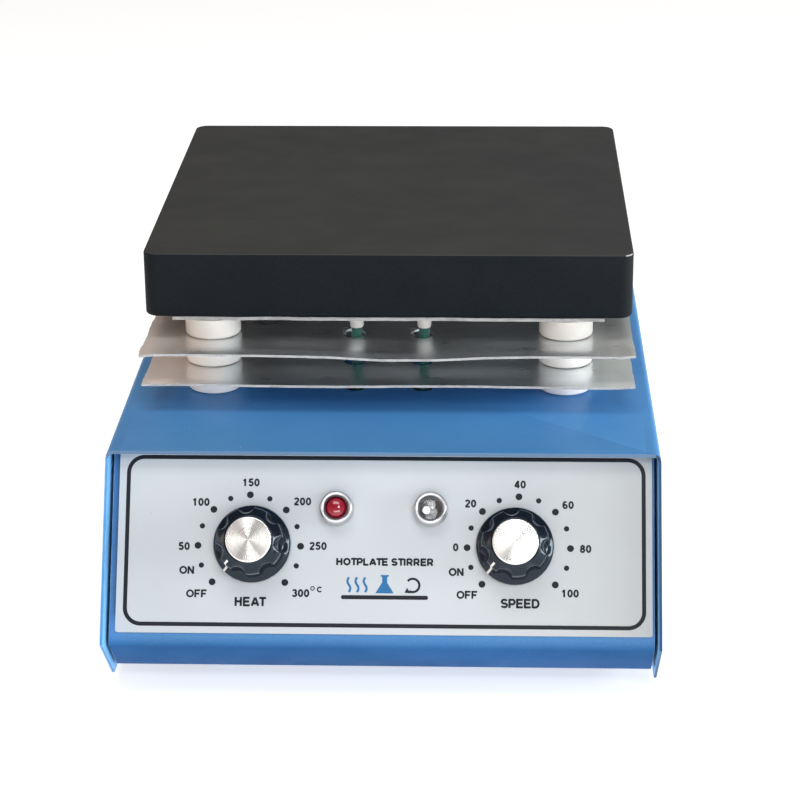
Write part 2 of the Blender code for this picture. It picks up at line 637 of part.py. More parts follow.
def control(name, axis, body_radius, body_depth, shaft_name):
    """A panel-mounted rotary control: body and threaded bush behind and through the panel, and its shaft."""
    behind = CHASSIS_FACE - SHEET - GAP
    bore = SHAFT_RADIUS + GAP
    nut_low, nut_high = GAP, 0.0027
    floor = behind - body_depth
    turned(name, [(bore, nut_high + 0.0006), (BUSH_RADIUS, nut_high + 0.0006), (BUSH_RADIUS, nut_high),
                  (NUT_RADIUS, nut_high), (NUT_RADIUS, nut_low), (BUSH_RADIUS, nut_low),
                  (BUSH_RADIUS, behind),
                  (body_radius, behind), (body_radius, floor), (0, floor), (0, behind - 0.007),
                  (bore, behind - 0.007)], BLACK_MATT, axis, steps=24)
    shaft_low, shaft_high = behind - 0.007 + GAP, 0.0122
    shaft = turned(shaft_name, [(0, shaft_high), (SHAFT_RADIUS, shaft_high), (SHAFT_RADIUS, shaft_low),
                                (0, shaft_low)], STEEL, axis, steps=24)
    flat = SHAFT_RADIUS * 0.5
    cut(shaft, box(shaft_name + "_flat", (flat, -0.005, 0.0045), (flat + 0.005, 0.005, shaft_high + 0.002),
                   STEEL, axis))


def controls():
    for kind, body_name, shaft_name, radius, depth in (
            ("heat", "thermostat", "thermostat_shaft", 0.0150, 0.020),
            ("speed", "speed_control", "speed_control_shaft", 0.0120, 0.012)):
        axis = empty(kind + "_knob_axis", (SHAFT_X[kind], SHAFT_RISE, 0), parent=PANEL)
        knob(kind + "_knob", axis)
        control(body_name, axis, radius, depth, shaft_name)


def lamps():
    """Chrome-ringed indicator lamps with a domed lens set into the ring."""
    behind = CHASSIS_FACE - SHEET - GAP
    mouth, seat = LENS_RADIUS + 0.0004, 0.0018
    for kind, look in (("heat", RED_LENS), ("power", CLEAR_LENS)):
        at = (LAMP_X[kind], LAMP_RISE, 0)
        barrel = LAMP_BARREL
        turned(kind + "_lamp", [(mouth, 0.0062), (0.0057, 0.0066), (0.0064, 0.0060), (0.0065, 0.0024),
                                (LAMP_RING, 0.0021), (LAMP_RING, GAP), (barrel, GAP), (barrel, behind),
                                (0.0075, behind), (0.0075, behind - 0.0025), (barrel, behind - 0.0025),
                                (barrel, -0.0240), (0, -0.0240), (0, seat), (mouth, seat)],
               CHROME, PANEL, at, steps=28)
        dome = [(0, 0.0059)] + [(LENS_RADIUS * cos(a), 0.0035 + 0.0024 * sin(a)) for a in (pi / 3, pi / 6, 0)]
        turned(kind + "_lamp_lens", dome + [(LENS_RADIUS, seat + GAP), (0, seat + GAP)],
               look, PANEL, at, steps=24)


# ---------------------------------------------------------------- drive
def motor():
    middle = (0, PLATE_Y, 0)
    top = BRACKET_TOP - BRACKET_SHEET - GAP
    boss, bore = 0.0055, MOTOR_SHAFT_RADIUS + GAP
    turned("stirrer_motor", [(bore, BRACKET_TOP + 0.0015), (boss, BRACKET_TOP + 0.0015), (boss, top),
                             (MOTOR_RADIUS - 0.001, top), (MOTOR_RADIUS, top - 0.001),
                             (MOTOR_RADIUS, MOTOR_BOTTOM + 0.001), (MOTOR_RADIUS - 0.001, MOTOR_BOTTOM),
                             (0.007, MOTOR_BOTTOM), (0.007, MOTOR_BOTTOM - 0.003), (0, MOTOR_BOTTOM - 0.003),
                             (0, top - 0.015), (bore, top - 0.015)], STEEL, None, middle, steps=24)
    leg, half, foot = 0.031, 0.019, 0.012
    floor = CHASSIS_BOTTOM + SHEET + GAP
    outline = [(-leg - foot, floor + BRACKET_SHEET), (-leg, floor + BRACKET_SHEET), (-leg, BRACKET_TOP),
               (leg, BRACKET_TOP), (leg, floor + BRACKET_SHEET), (leg + foot, floor + BRACKET_SHEET)]
    bracket = folded("motor_bracket", outline, 'Y', half, STEEL, BRACKET_SHEET, 0.0018)
    for vert in bracket.data.vertices:
        vert.co.y += PLATE_Y
    hole(bracket, boss + GAP, BRACKET_TOP - 0.008, BRACKET_TOP + 0.008, 0, PLATE_Y)
    rotor = empty("rotor_axis", middle)
    shaft_top = CARRIER_BOTTOM + 0.0055
    shaft_low = top - 0.015 + GAP
    turned("motor_shaft", [(0, shaft_top), (MOTOR_SHAFT_RADIUS, shaft_top), (MOTOR_SHAFT_RADIUS, shaft_low),
                           (0, shaft_low)], STEEL, rotor, steps=16)
    deck = CARRIER_BOTTOM + 0.0070
    carrier = turned("magnet_carrier",
                     [(0, deck), (CARRIER_RADIUS, deck), (CARRIER_RADIUS, deck - 0.004),
                      (0.010, deck - 0.004),
                      (0.008, CARRIER_BOTTOM), (bore, CARRIER_BOTTOM), (bore, shaft_top + GAP),
                      (0, shaft_top + GAP)], ALUMINIUM, rotor, steps=28)
    for side, x in (("left", -MAGNET_OFFSET), ("right", MAGNET_OFFSET)):
        pocket = deck - 0.0015
        hole(carrier, MAGNET_RADIUS + GAP, pocket, deck + 0.01, x, 0, rotor, steps=20)
        magnet_low, magnet_high = pocket + GAP, deck + 0.0045
        turned("magnet_" + side, [(0, magnet_high), (MAGNET_RADIUS - 0.0006, magnet_high),
                                  (MAGNET_RADIUS, magnet_high - 0.0006), (MAGNET_RADIUS, magnet_low),
                                  (0, magnet_low)], FERRITE, rotor, (x, 0, 0), steps=20)


# ---------------------------------------------------------------- electrical parts
def control_board():
    """The speed and heat regulator board on four posts, with its terminal block and larger components."""
    floor, post = CHASSIS_BOTTOM + SHEET + GAP, 0.007
    low, high = (0.020, -0.092, floor + post), (0.092, -0.034, floor + post + 0.0016)
    board = box("control_board", low, high, CIRCUIT_GREEN)
    inset, radius, inside = 0.005, 0.003, low[2] + 0.0008
    for x in (low[0] + inset, high[0] - inset):
        for y in (low[1] + inset, high[1] - inset):
            cut(board, turned("post", [(0, inside), (radius, inside), (radius, floor), (0, floor)],
                              STEEL, None, (x, y, 0), steps=10), 'UNION')
    inside = high[2] - 0.0005
    for block_low, block_high in (((0.034, -0.060), (0.046, -0.044)), ((0.060, -0.085), (0.084, -0.073)),
                                  ((0.066, -0.062), (0.080, -0.046)), ((0.030, -0.084), (0.046, -0.070))):
        cut(board, box("block", (*block_low, inside), (*block_high, inside + 0.0125), BLACK_MATT), 'UNION')


def power_inlet():
    """Three-pin appliance inlet: flange, body and socket with its pins."""
    inlet = box("power_inlet", (INLET_X - 0.0240, -0.0115, GAP), (INLET_X + 0.0240, 0.0115, 0.0030),
                BLACK_MATT, REAR)
    round_upright_edges(inlet, 0.003, 3)
    half_width, half_height = INLET_BODY[0] / 2, INLET_BODY[1] / 2
    cut(inlet, box("inlet_body", (INLET_X - half_width, -half_height, -0.0200),
                   (INLET_X + half_width, half_height, 0.0020), BLACK_MATT, REAR), 'UNION')
    half_width, half_height, depth = SOCKET[0] / 2, SOCKET[1] / 2, SOCKET[2]
    cut(inlet, box("inlet_socket", (INLET_X - half_width, -half_height, -depth),
                   (INLET_X + half_width, half_height, 0.0060), BLACK_MATT, REAR))
    for x, y in ((-0.007, -0.002), (0.007, -0.002), (0, 0.002)):
        cut(inlet, box("inlet_pin", (INLET_X + x - 0.001, y - 0.002, -0.0170),
                       (INLET_X + x + 0.001, y + 0.002, -0.0010), STEEL, REAR), 'UNION')


def fuse():
    """Panel fuse holder with a quarter-turn cap."""
    seat, bore, mouth = 0.0008, 0.0048, 0.0058
    turned("fuse_holder", [(mouth, 0.0025), (0.0080, 0.0025), (0.0080, GAP), (FUSE_RADIUS, GAP),
                           (FUSE_RADIUS, -0.0280), (0, -0.0280), (0, -0.0250), (bore, -0.0250), (bore, seat),
                           (mouth, seat)], BLACK_MATT, REAR, (FUSE_X, 0, 0), steps=24)
    axis = empty("fuse_cap_axis", (FUSE_X, 0, 0), parent=REAR)
    cap = turned("fuse_cap", [(0, 0.0065), (bore, 0.0065), (mouth - GAP, 0.0058), (mouth - GAP, seat + GAP),
                              (bore - GAP, seat + GAP), (bore - GAP, -0.0040), (0, -0.0040)],
                 BLACK_GLOSS, axis, steps=24)
    cut(cap, box("cap_slot", (-0.0040, -0.0006, 0.0050), (0.0040, 0.0006, 0.0080), BLACK_GLOSS, axis))


outer_cover()
chassis()
faceplate()
feet()
cover_screws()
hot_plate()
heating_element()
heater_insulation()
shields()
spacers()
plate_bolts()
heater_leads()
controls()
lamps()
motor()
control_board()
power_inlet()
fuse()
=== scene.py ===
"""Looks of a hotplate magnetic stirrer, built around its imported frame.

Metres, +Z up, the control panel faces -Y.  Places come from the frame's boxes and joints; the sizes that only
the looks need are named below.
"""

import json
from math import cos, exp, pi, radians, sin, sqrt

import bmesh
import bpy
from mathutils import Matrix, Vector, noise

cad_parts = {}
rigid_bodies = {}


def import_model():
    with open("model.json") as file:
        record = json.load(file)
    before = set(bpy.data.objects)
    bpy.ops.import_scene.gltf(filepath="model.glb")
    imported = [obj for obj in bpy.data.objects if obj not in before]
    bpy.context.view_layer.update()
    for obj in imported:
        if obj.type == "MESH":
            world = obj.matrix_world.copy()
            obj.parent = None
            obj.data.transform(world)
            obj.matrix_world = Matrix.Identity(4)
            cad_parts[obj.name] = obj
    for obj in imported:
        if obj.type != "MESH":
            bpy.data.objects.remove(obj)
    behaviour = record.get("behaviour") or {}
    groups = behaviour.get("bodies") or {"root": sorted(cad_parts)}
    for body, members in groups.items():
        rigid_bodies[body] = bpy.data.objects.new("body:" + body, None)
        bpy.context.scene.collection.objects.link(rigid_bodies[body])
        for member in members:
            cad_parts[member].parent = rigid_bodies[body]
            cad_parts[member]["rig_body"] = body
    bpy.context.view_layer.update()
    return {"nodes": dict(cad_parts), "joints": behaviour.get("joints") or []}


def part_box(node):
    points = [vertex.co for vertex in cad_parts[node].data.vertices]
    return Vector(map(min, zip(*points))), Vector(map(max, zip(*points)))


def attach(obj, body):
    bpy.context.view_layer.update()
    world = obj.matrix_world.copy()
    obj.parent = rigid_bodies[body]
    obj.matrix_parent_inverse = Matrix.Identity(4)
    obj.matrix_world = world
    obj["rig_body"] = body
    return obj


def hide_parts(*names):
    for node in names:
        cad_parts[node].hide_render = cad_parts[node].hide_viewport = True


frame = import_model()
NODES = frame["nodes"]
MM = 0.001
shift = Matrix.Translation

# ---- sizes of the fine work
FILM = 3e-5                     # thickness of the printed ink
DOT_RING = 0.0202               # printed dots round each knob
DOT_X = (-0.0521, 0.0536)
DOTS, DOT_STEP = 13, radians(22.5)
DOT_BIG, DOT_SMALL = 0.00135, 0.00105
SHAFT_RISE = 0.0006             # the shafts sit this much above the printed rings' middles
BORDER_LOW, BORDER_HIGH = (-0.1004, -0.0309), (0.1024, 0.035)
BORDER_WIDTH, BORDER_CORNER = 0.0016, 0.0062

KNOB_LOBES = 7
STEPS_PER_LOBE = 36
KNOB_POINTER = radians(-135)
FLUTE_RADIUS = 0.0039
POINTER_WIDTH = 0.0009
CREASE = 35                     # degrees; sharper edges aren't shaded smooth
BOLT_HOLE = 0.0033              # radius, in the shields and the spacers
CAMERA_AT = (0.04204, -1.00106, 0.46603)
YAW, PITCH, ROLL = -0.03948, 0.37427, -0.00813
LIT_POINT = (0, -0.05, 0.08)    # where the lights aim
# A face of the cover that looks forward above this height is its top edge.
BROW_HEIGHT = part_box("outer_cover")[1].z - 0.0022


def joint_place(name):
    """A joint's position and axis."""
    found = next(joint for joint in frame["joints"] if joint["name"] == name)
    return Vector(found["pos_m"]), Vector(found["axis"])


HEAT_AT, INTO_PANEL = joint_place("heat_knob_turn")
SPEED_AT = joint_place("speed_knob_turn")[0]
FUSE_AT = joint_place("fuse_cap_turn")[0]
ACROSS = Vector((1, 0, 0))
OUTWARD = -INTO_PANEL
UP_SLOPE = OUTWARD.cross(ACROSS)
PANEL_TURN = Matrix((ACROSS, UP_SLOPE, OUTWARD)).transposed().to_4x4()
# The panel's own frame: X across, Y up the slope, Z out of the faceplate, at the middle of the dial line.
PANEL = shift(Vector((0, HEAT_AT.y, HEAT_AT.z)) - UP_SLOPE * SHAFT_RISE) @ PANEL_TURN

PLATE_LOW, PLATE_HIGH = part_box("hot_plate")
CORNERS = ("front_left", "front_right", "rear_left", "rear_right")


def foot_of(node):
    """The point on the table under the middle of a node."""
    low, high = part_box(node)
    return Vector(((low.x + high.x) / 2, (low.y + high.y) / 2, 0))


LEADS = {side: foot_of("lead_insulator_" + side) for side in ("left", "right")}


# ---- materials
def srgb(red, green, blue):
    """A linear colour from its usual 0 to 255 values."""
    scaled = [channel / 255 for channel in (red, green, blue)]
    return tuple(c / 12.92 if c < 0.04 else ((c + 0.055) / 1.055) ** 2.4 for c in scaled)


class Shades:
    """A node tree, with short ways to add what the looks and the sky need."""

    def __init__(self, tree):
        self.tree = tree

    def feed(self, socket, value):
        """Link an output to a socket, or set the socket's value."""
        if isinstance(value, bpy.types.NodeSocket):
            self.tree.links.new(value, socket)
        else:
            socket.default_value = value

    def node(self, kind, inputs, **settings):
        made = self.tree.nodes.new("ShaderNode" + kind)
        for name, value in settings.items():
            setattr(made, name, value)
        for name, value in inputs.items():
            self.feed(made.inputs[name], value)
        return made

    def calc(self, operation, a, b=0.0):
        return self.node("Math", {0: a, 1: b}, operation=operation).outputs[0]

    def fade(self, value, start, end, low=0.0, high=1.0, **settings):
        """The value stretched so that start gives low and end gives high."""
        return self.node("MapRange", {"Value": value, "From Min": start, "From Max": end, "To Min": low,
                                      "To Max": high}, **settings).outputs[0]

    def part(self, vector, index):
        """The vector's X, Y or Z."""
        return self.node("SeparateXYZ", {"Vector": vector}).outputs[index]


class Look(Shades):
    """A procedural material on one Principled shader, drawn in the piece's own metres."""

    def __init__(self, name, colour, roughness, metallic=0.0, **constants):
        self.material = bpy.data.materials.new(name + "_look")
        self.material.use_nodes = True
        super().__init__(self.material.node_tree)
        self.shader = self.tree.nodes["Principled BSDF"]
        self.colour = (*colour, 1.0)
        self.set("Base Color", self.colour)
        self.set("Roughness", roughness)
        self.set("Metallic", metallic)
        for socket, value in constants.items():
            self.set(socket.replace("_", " "), value)
        self.places = self.node("TexCoord", {}).outputs["Object"]
        self.last_bump = None

    def set(self, socket, value):
        self.feed(self.shader.inputs[socket], value)

    def scaled(self, size, stretch):
        return self.node("Mapping", {"Vector": self.places, "Scale": [s / size for s in stretch]}).outputs[0]

    def noise(self, size, detail=2.0, stretch=(1, 1, 1)):
        """Cloudy noise from 0 to 1 whose features are about this size."""
        return self.node("TexNoise", {"Vector": self.scaled(size, stretch), "Scale": 1.0, "Detail": detail,
                                      "Roughness": 0.55}).outputs[0]

    def spots(self, size):
        """Distance to scattered points this far apart, from 0 at a point."""
        return self.node("TexVoronoi", {"Vector": self.scaled(size, (1, 1, 1)), "Scale": 1.0}).outputs[0]

    def distance(self, point):
        return self.node("VectorMath", {0: self.places, 1: point}, operation="DISTANCE").outputs["Value"]

    def both(self, a, b):
        """The product of two factors, kept between 0 and 1."""
        return self.node("Math", {0: a, 1: b}, operation="MULTIPLY", use_clamp=True).outputs[0]

    def axis(self, index):
        """The place along X, Y or Z."""
        return self.part(self.places, index)

    def facing(self, index):
        """How much the surface faces along X, Y or Z."""
        return self.part(self.node("NewGeometry", {}).outputs["Normal"], index)

    def edges(self, radius):
        """1 on sharp edges, 0 on flats."""
        soft = self.node("Bevel", {"Radius": radius}, samples=4).outputs[0]
        flat = self.node("NewGeometry", {}).outputs["Normal"]
        dot = self.node("VectorMath", {0: soft, 1: flat}, operation="DOT_PRODUCT").outputs["Value"]
        return self.fade(dot, 0.99, 0.86)

    def tint(self, factor, colour):
        """Blend the base colour so far towards another one."""
        self.colour = self.node("Mix", {"Factor": factor, 6: self.colour, 7: (*colour, 1.0)},
                                data_type="RGBA").outputs[2]
        self.set("Base Color", self.colour)

    def mottle(self, colour, amount, start, end, *clouds):
        """Tint by noise, from nothing where it is at start to this amount where it is at end."""
        self.tint(self.fade(self.noise(*clouds), start, end, 0.0, amount), colour)

    def rough(self, low, high, *clouds):
        """Let the roughness wander between two values."""
        self.set("Roughness", self.fade(self.noise(*clouds), 0.25, 0.75, low, high))

    def bump(self, height, depth, strength):
        inputs = {"Height": height, "Distance": depth, "Strength": strength}
        if self.last_bump:
            inputs["Normal"] = self.last_bump
        self.last_bump = self.node("Bump", inputs).outputs[0]
        self.set("Normal", self.last_bump)

    def grain(self, depth, strength, *clouds):
        """Unevenness by noise."""
        self.bump(self.noise(*clouds), depth, strength)


def blue_coat(name, colour, painted_shade):
    """Satin powder coat: fine orange peel, a few dust flecks, edges rubbed pale, and painted shade low in
    front.

    The mouth is the inner faces beside the panel, painted lighter as if lit; the brow the cover's top edge;
    the margin the strip of chassis beside the faceplate, with a painted shadow. The right-hand front edges
    get painted shade."""
    look = Look(name, colour, 0.42, Specular_IOR_Level=0.25)
    look.mottle(srgb(90, 156, 210), 0.18, 0.35, 0.7, 0.0009)
    ahead = look.fade(look.axis(1), -0.08, -0.1)
    # Painted shade: low down in front the coat is tinted darker and loses its sheen.
    low_front_shade = look.both(ahead, look.fade(look.axis(2), 0.031, 0.026, 0.0, painted_shade))
    look.tint(low_front_shade, srgb(26, 72, 122))
    look.set("Specular IOR Level", look.fade(low_front_shade, 0.0, 1.0, 0.25, 0.0))
    look.mottle(srgb(60, 120, 180), 0.25, 0.35, 0.7, 0.05, 4)
    flecks = look.fade(look.spots(0.008), 0.035, 0.02)
    look.tint(look.both(flecks, look.fade(look.noise(0.02), 0.52, 0.56)), srgb(205, 220, 235))
    rubbed = look.both(look.edges(0.0007), look.fade(look.noise(0.004, 4), 0.42, 0.62, 0.1, 0.6))
    look.tint(rubbed, srgb(175, 205, 235))
    # Painted light: the inner faces beside the panel (the mouth) are tinted pale, as if lit.
    inward = look.both(look.facing(0), look.calc("SUBTRACT", 0.0, look.axis(0)))
    mouth = look.both(look.fade(inward, 0.08, 0.1), look.fade(look.axis(1), -0.085, -0.095))
    look.tint(mouth, srgb(128, 196, 250))
    front = look.fade(look.facing(1), -0.4, -0.8)
    brow = look.both(front, look.fade(look.axis(2), BROW_HEIGHT - 0.0006, BROW_HEIGHT, 0, 0.9))
    look.tint(brow, srgb(88, 112, 138))
    shaded = look.both(front, look.fade(look.axis(0), 0.1066, 0.1072, 0, 0.9))
    look.tint(shaded, srgb(24, 46, 76))
    # Painted shadow: the strip of chassis beside the faceplate (the margin) darkens towards it, in front.
    side = look.calc("ABSOLUTE", look.axis(0))
    margin = look.both(look.fade(side, 0.1032, 0.1038), look.fade(side, 0.1066, 0.1046, 0.0, painted_shade))
    margin = look.both(look.both(margin, ahead), look.fade(look.axis(2), 0.034, 0.038, 0, 0.7))
    look.tint(margin, srgb(36, 58, 86))
    look.rough(0.36, 0.5, 0.012, 3)
    look.grain(4e-5, 0.5, 0.0016)
    look.grain(1e-5, 0.35, 0.0004, 1)
    return look


def silver_face():
    """Silver-grey printed film with a fine grain."""
    look = Look("silver_faceplate", srgb(180, 187, 193), 0.42, 0.15)
    look.mottle(srgb(180, 186, 192), 0.35, 0.3, 0.7, 0.00035)
    look.mottle(srgb(188, 193, 194), 0.3, 0.4, 0.75, 0.06, 3)
    # Painted shade: the film is tinted darker towards the right-hand side.
    look.tint(look.fade(look.axis(0), 0.02, 0.11, 0, 0.8), srgb(160, 162, 162))
    specks = look.fade(look.spots(0.011), 0.03, 0.018)
    look.tint(look.both(specks, look.fade(look.noise(0.03), 0.5, 0.55, 0, 0.6)), srgb(150, 150, 150))
    look.rough(0.38, 0.5, 0.01, 3)
    look.grain(6e-6, 0.4, 0.0003, 1)
    return look


def dark_casting():
    """Heat-proof coating on a sand casting: sides deep black, painted light on the top, greyer patches there,
    one corner chipped.
    """
    look = Look("black_coated_casting", (0.0025, 0.005, 0.008), 0.55, Specular_IOR_Level=0.12)
    look.mottle((0.01, 0.013, 0.016), 0.35, 0.35, 0.7, 0.0006)
    # Painted light: top-facing faces are tinted lighter than the sides.
    top = look.fade(look.facing(2), 0.4, 0.8)
    look.tint(top, (0.044, 0.046, 0.045))
    grey = look.both(look.fade(look.noise(0.05, 4), 0.38, 0.7), top)
    look.tint(look.both(grey, 0.5), (0.057, 0.058, 0.053))
    specks = look.fade(look.spots(0.011), 0.04, 0.018)
    look.tint(look.both(specks, look.fade(look.noise(0.025), 0.52, 0.56, 0, 0.5)), srgb(140, 140, 135))
    scuffs = look.fade(look.noise(0.004, 2, (0.12, 2, 1)), 0.7, 0.76, 0, 0.6)
    look.tint(look.both(scuffs, look.fade(look.noise(0.03), 0.55, 0.6)), srgb(26, 26, 26))
    chip = (PLATE_HIGH.x - 0.0013, PLATE_LOW.y + 0.0013, PLATE_HIGH.z - 0.0006)
    along_edge = look.both(look.fade(look.facing(2), 0.9, 0.75), look.fade(look.facing(2), 0.2, 0.4))
    look.tint(look.both(look.fade(look.distance(chip), 0.0024, 0.0019), along_edge), srgb(165, 168, 166))
    look.rough(0.5, 0.66, 0.02, 4)
    look.grain(6e-5, 0.5, 0.0009, 3)
    look.grain(0.00012, 0.3, 0.0035)
    return look


def aluminium_sheet(name, tone, roughness):
    """Rolled sheet: streaks along X, scratches, a stain behind each lead; painted light makes the ends warmer
    and duller.
    """
    look = Look(name, tone, roughness, 1.0, Anisotropic=0.35)
    look.mottle([c * 0.72 for c in tone], 0.4, 0.3, 0.75, 0.0012, 2, (0.06, 1, 1))
    look.mottle([c * c for c in tone], 0.25, 0.5, 0.75, 0.03, 3)
    look.mottle((0.9, 0.9, 0.9), 1.0, 0.74, 0.78, 0.003, 1, (0.25, 2.6, 1))
    for at in LEADS.values():
        stain = look.distance((at.x, at.y + 0.034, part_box("lower_heat_shield")[1].z))
        look.tint(look.fade(stain, 0.018, 0.012, 0, 0.9), (0.04, 0.05, 0.06))
    # Painted light: the ends are tinted warmer, and below made less metallic, for the side light that falls
    # on them.
    for start, end, amount, warmth in ((-0.064, -0.088, 0.85, (1.08, 0.9, 0.78)),
                                       (0.076, 0.092, 0.8, (0.98, 0.94, 0.86))):
        look.tint(look.fade(look.axis(0), start, end, 0.0, amount), [c * w for c, w in zip(tone, warmth)])
    ends = look.fade(look.calc("ABSOLUTE", look.axis(0)), 0.076, 0.092)
    look.set("Metallic", look.fade(ends, 0.0, 1.0, 1.0, 0.5))
    look.rough(roughness - 0.05, roughness + 0.09, 0.006, 3, (0.3, 1, 1))
    look.grain(8e-6, 0.5, 0.0006, 2, (0.08, 1, 1))
    look.grain(0.0001, 0.25, 0.02)
    return look


def sheared_edge(name, tone):
    """A sheet's cut edge: burnished pale grey, uneven along its length."""
    look = Look(name, (tone, tone * 1.01, tone * 1.02), 0.55, 0.2)
    look.mottle([tone * 0.62] * 3, 0.8, 0.4, 0.7, 0.006, 3, (1, 1, 3))
    look.mottle([tone * 0.5] * 3, 0.5, 0.5, 0.75, 0.0012)
    look.grain(6e-5, 0.5, 0.0008)
    return look


def ceramic(name, colour):
    """Unglazed steatite: warm white, chalky, with tiny pits."""
    look = Look(name, colour, 0.5, Subsurface_Weight=0.06, Subsurface_Scale=0.002)
    look.mottle(srgb(216, 204, 196), 0.3, 0.45, 0.75, 0.005, 3)
    look.tint(look.fade(look.spots(0.0016), 0.12, 0.05, 0, 0.35), srgb(186, 172, 160))
    look.rough(0.42, 0.62, 0.003)
    look.grain(3e-5, 0.5, 0.0005, 3)
    return look


def metal(name, colour, roughness, grain=0.0008):
    """Plated metal with faint grain and smudges."""
    look = Look(name, colour, roughness, 1.0)
    look.mottle([c * 0.75 for c in colour], 0.3, 0.45, 0.75, 0.008, 3)
    look.rough(roughness * 0.8, roughness * 1.4, 0.004, 3)
    look.grain(1e-5, 0.4, grain)
    return look


def plastic(name, colour, roughness, peel=0.002, **constants):
    """Moulded plastic with a slightly uneven surface."""
    look = Look(name, colour, roughness, **constants)
    look.mottle([min(c * 1.6 + 0.004, 1) for c in colour], 0.3, 0.45, 0.75, 0.004, 3)
    look.rough(roughness * 0.75, roughness * 1.35, 0.003, 3)
    look.grain(2e-5, 0.3, peel)
    return look


def spun_cap():
    """Spun aluminium disc: circular grain round its own axis."""
    look = Look("spun_aluminium", srgb(248, 246, 243), 0.26, 1.0, Anisotropic=0.85)
    look.set("Tangent", look.node("Tangent", {}, direction_type="RADIAL", axis="Z").outputs[0])
    radius = look.node("VectorMath", {0: look.places}, operation="LENGTH").outputs["Value"]
    rings = look.node("TexNoise", {"W": look.calc("DIVIDE", radius, 0.00025), "Scale": 1.0, "Detail": 2.0},
                      noise_dimensions="1D").outputs[0]
    look.tint(look.fade(rings, 0.35, 0.7, 0, 0.25), srgb(205, 200, 194))
    look.rough(0.24, 0.3, 0.008, 1)
    look.bump(rings, 2e-6, 0.3)
    return look


def woven_sleeve():
    """Braided glass-fibre sleeving: two crossing sets of fine diagonal strands."""
    look = Look("green_sleeve", srgb(20, 96, 84), 0.75, Sheen_Weight=0.2)
    strands = []
    for lean in (1, -1):
        inputs = {"Vector": look.scaled(0.0007, (lean, 1, 0.9)), "Scale": 1.0, "Distortion": 1.5}
        strands.append(look.node("TexWave", inputs, bands_direction="DIAGONAL").outputs[1])
    weave = look.calc("MAXIMUM", *strands)
    look.tint(look.fade(weave, 0.4, 0.95, 0.7, 0.0), srgb(8, 42, 42))
    look.mottle(srgb(46, 140, 124), 0.4, 0.55, 0.7, 0.0015)
    look.bump(weave, 0.00012, 0.7)
    return look


def circuit_board():
    """Green board; everything that stands above it is black components."""
    look = Look("circuit_board", srgb(20, 92, 44), 0.4)
    board_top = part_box("control_board")[1].z - 0.0125
    look.mottle(srgb(60, 140, 70), 0.5, 0.5, 0.53, 0.003, 0, (1, 0.2, 1))
    look.tint(look.fade(look.axis(2), board_top, board_top + 0.0004), srgb(24, 24, 26))
    look.grain(3e-5, 0.4, 0.001, 1)
    return look


def ink(name, colour):
    """Screen-printed ink, a touch uneven."""
    look = Look(name, colour, 0.5, Specular_IOR_Level=0.25)
    look.mottle([c * 1.9 + 0.004 for c in colour], 0.3, 0.5, 0.75, 0.0006, 3)
    look.grain(4e-6, 0.3, 0.0004)
    return look


BLUE = blue_coat("blue_cover", srgb(76, 142, 202), 0.15)
# Painted shade: the chassis gets the cover's paint made darker, and much more painted shade low in front.
SHADED_BLUE_CHASSIS = blue_coat("shaded_blue_chassis", srgb(62, 116, 168), 0.9)
FACE = silver_face()
CASTING = dark_casting()
SHIELD_SHEET = aluminium_sheet("aluminium_sheet", (0.79, 0.83, 0.86), 0.3)
UNDER_SHEET = aluminium_sheet("under_sheet", (0.74, 0.74, 0.75), 0.34)
SHEARED = sheared_edge("sheared_edge", 0.47)
DULL_EDGE = sheared_edge("dull_edge", 0.38)
CERAMIC = ceramic("white_ceramic", srgb(246, 244, 241))
# Painted shade: a darker copy of the white ceramic, for the upper spacers and the lead beads.
SHADED_CERAMIC = ceramic("shaded_ceramic", srgb(204, 202, 198))
STEEL = metal("plated_steel", (0.56, 0.56, 0.55), 0.32)
BRASS = metal("brass", srgb(200, 165, 95), 0.28)
CHROME = metal("chrome", (0.56, 0.57, 0.59), 0.34, 0.006)
ALUMINIUM = metal("cast_aluminium", (0.7, 0.7, 0.71), 0.4)
DARK_METAL = metal("lamp_inside", (0.1, 0.1, 0.11), 0.4)
BLACK_GLOSS = plastic("black_gloss_plastic", srgb(7, 16, 28), 0.13, 0.004, Specular_IOR_Level=0.42,
                      Specular_Tint=(0.75, 0.9, 1.0, 1.0))
BLACK_MATT = plastic("black_matt_plastic", srgb(24, 24, 25), 0.5)
WHITE_PAINT = plastic("pointer_paint", srgb(214, 212, 208), 0.5)
CAP = spun_cap()
SLEEVE = woven_sleeve()
RED = Look("red_lens", srgb(172, 4, 48), 0.08, Transmission_Weight=0.45, IOR=1.49, Coat_Weight=0.6,
           Coat_Roughness=0.03)
RED.mottle(srgb(200, 24, 68), 0.4, 0.45, 0.7, 0.002)
RED.grain(3e-5, 0.1, 0.003, 1)
CLEAR = Look("clear_lens", (0.96, 0.97, 0.97), 0.03, Transmission_Weight=1.0, IOR=1.49)
CLEAR.mottle((0.85, 0.87, 0.88), 0.2, 0.5, 0.8, 0.002)
CLEAR.grain(0.0001, 0.25, 0.0025, 1)
RUBBER = Look("black_rubber", srgb(28, 28, 29), 0.75)
RUBBER.mottle(srgb(44, 44, 44), 0.6, 0.45, 0.7, 0.003, 3)
RUBBER.grain(5e-5, 0.6, 0.0006, 3)
BOARD = circuit_board()
FIBRE = Look("fibre_board", srgb(214, 206, 190), 0.95, Sheen_Weight=0.1)
FIBRE.mottle(srgb(180, 170, 150), 0.5, 0.4, 0.7, 0.0012, 4, (1, 3, 1))
FIBRE.grain(0.0002, 0.7, 0.001, 4, (1, 2.5, 1))
FERRITE = plastic("ferrite", srgb(58, 58, 62), 0.55, 0.0005)
INK = ink("dark_ink", srgb(12, 19, 28))
BLUE_INK = ink("blue_ink", srgb(34, 100, 150))


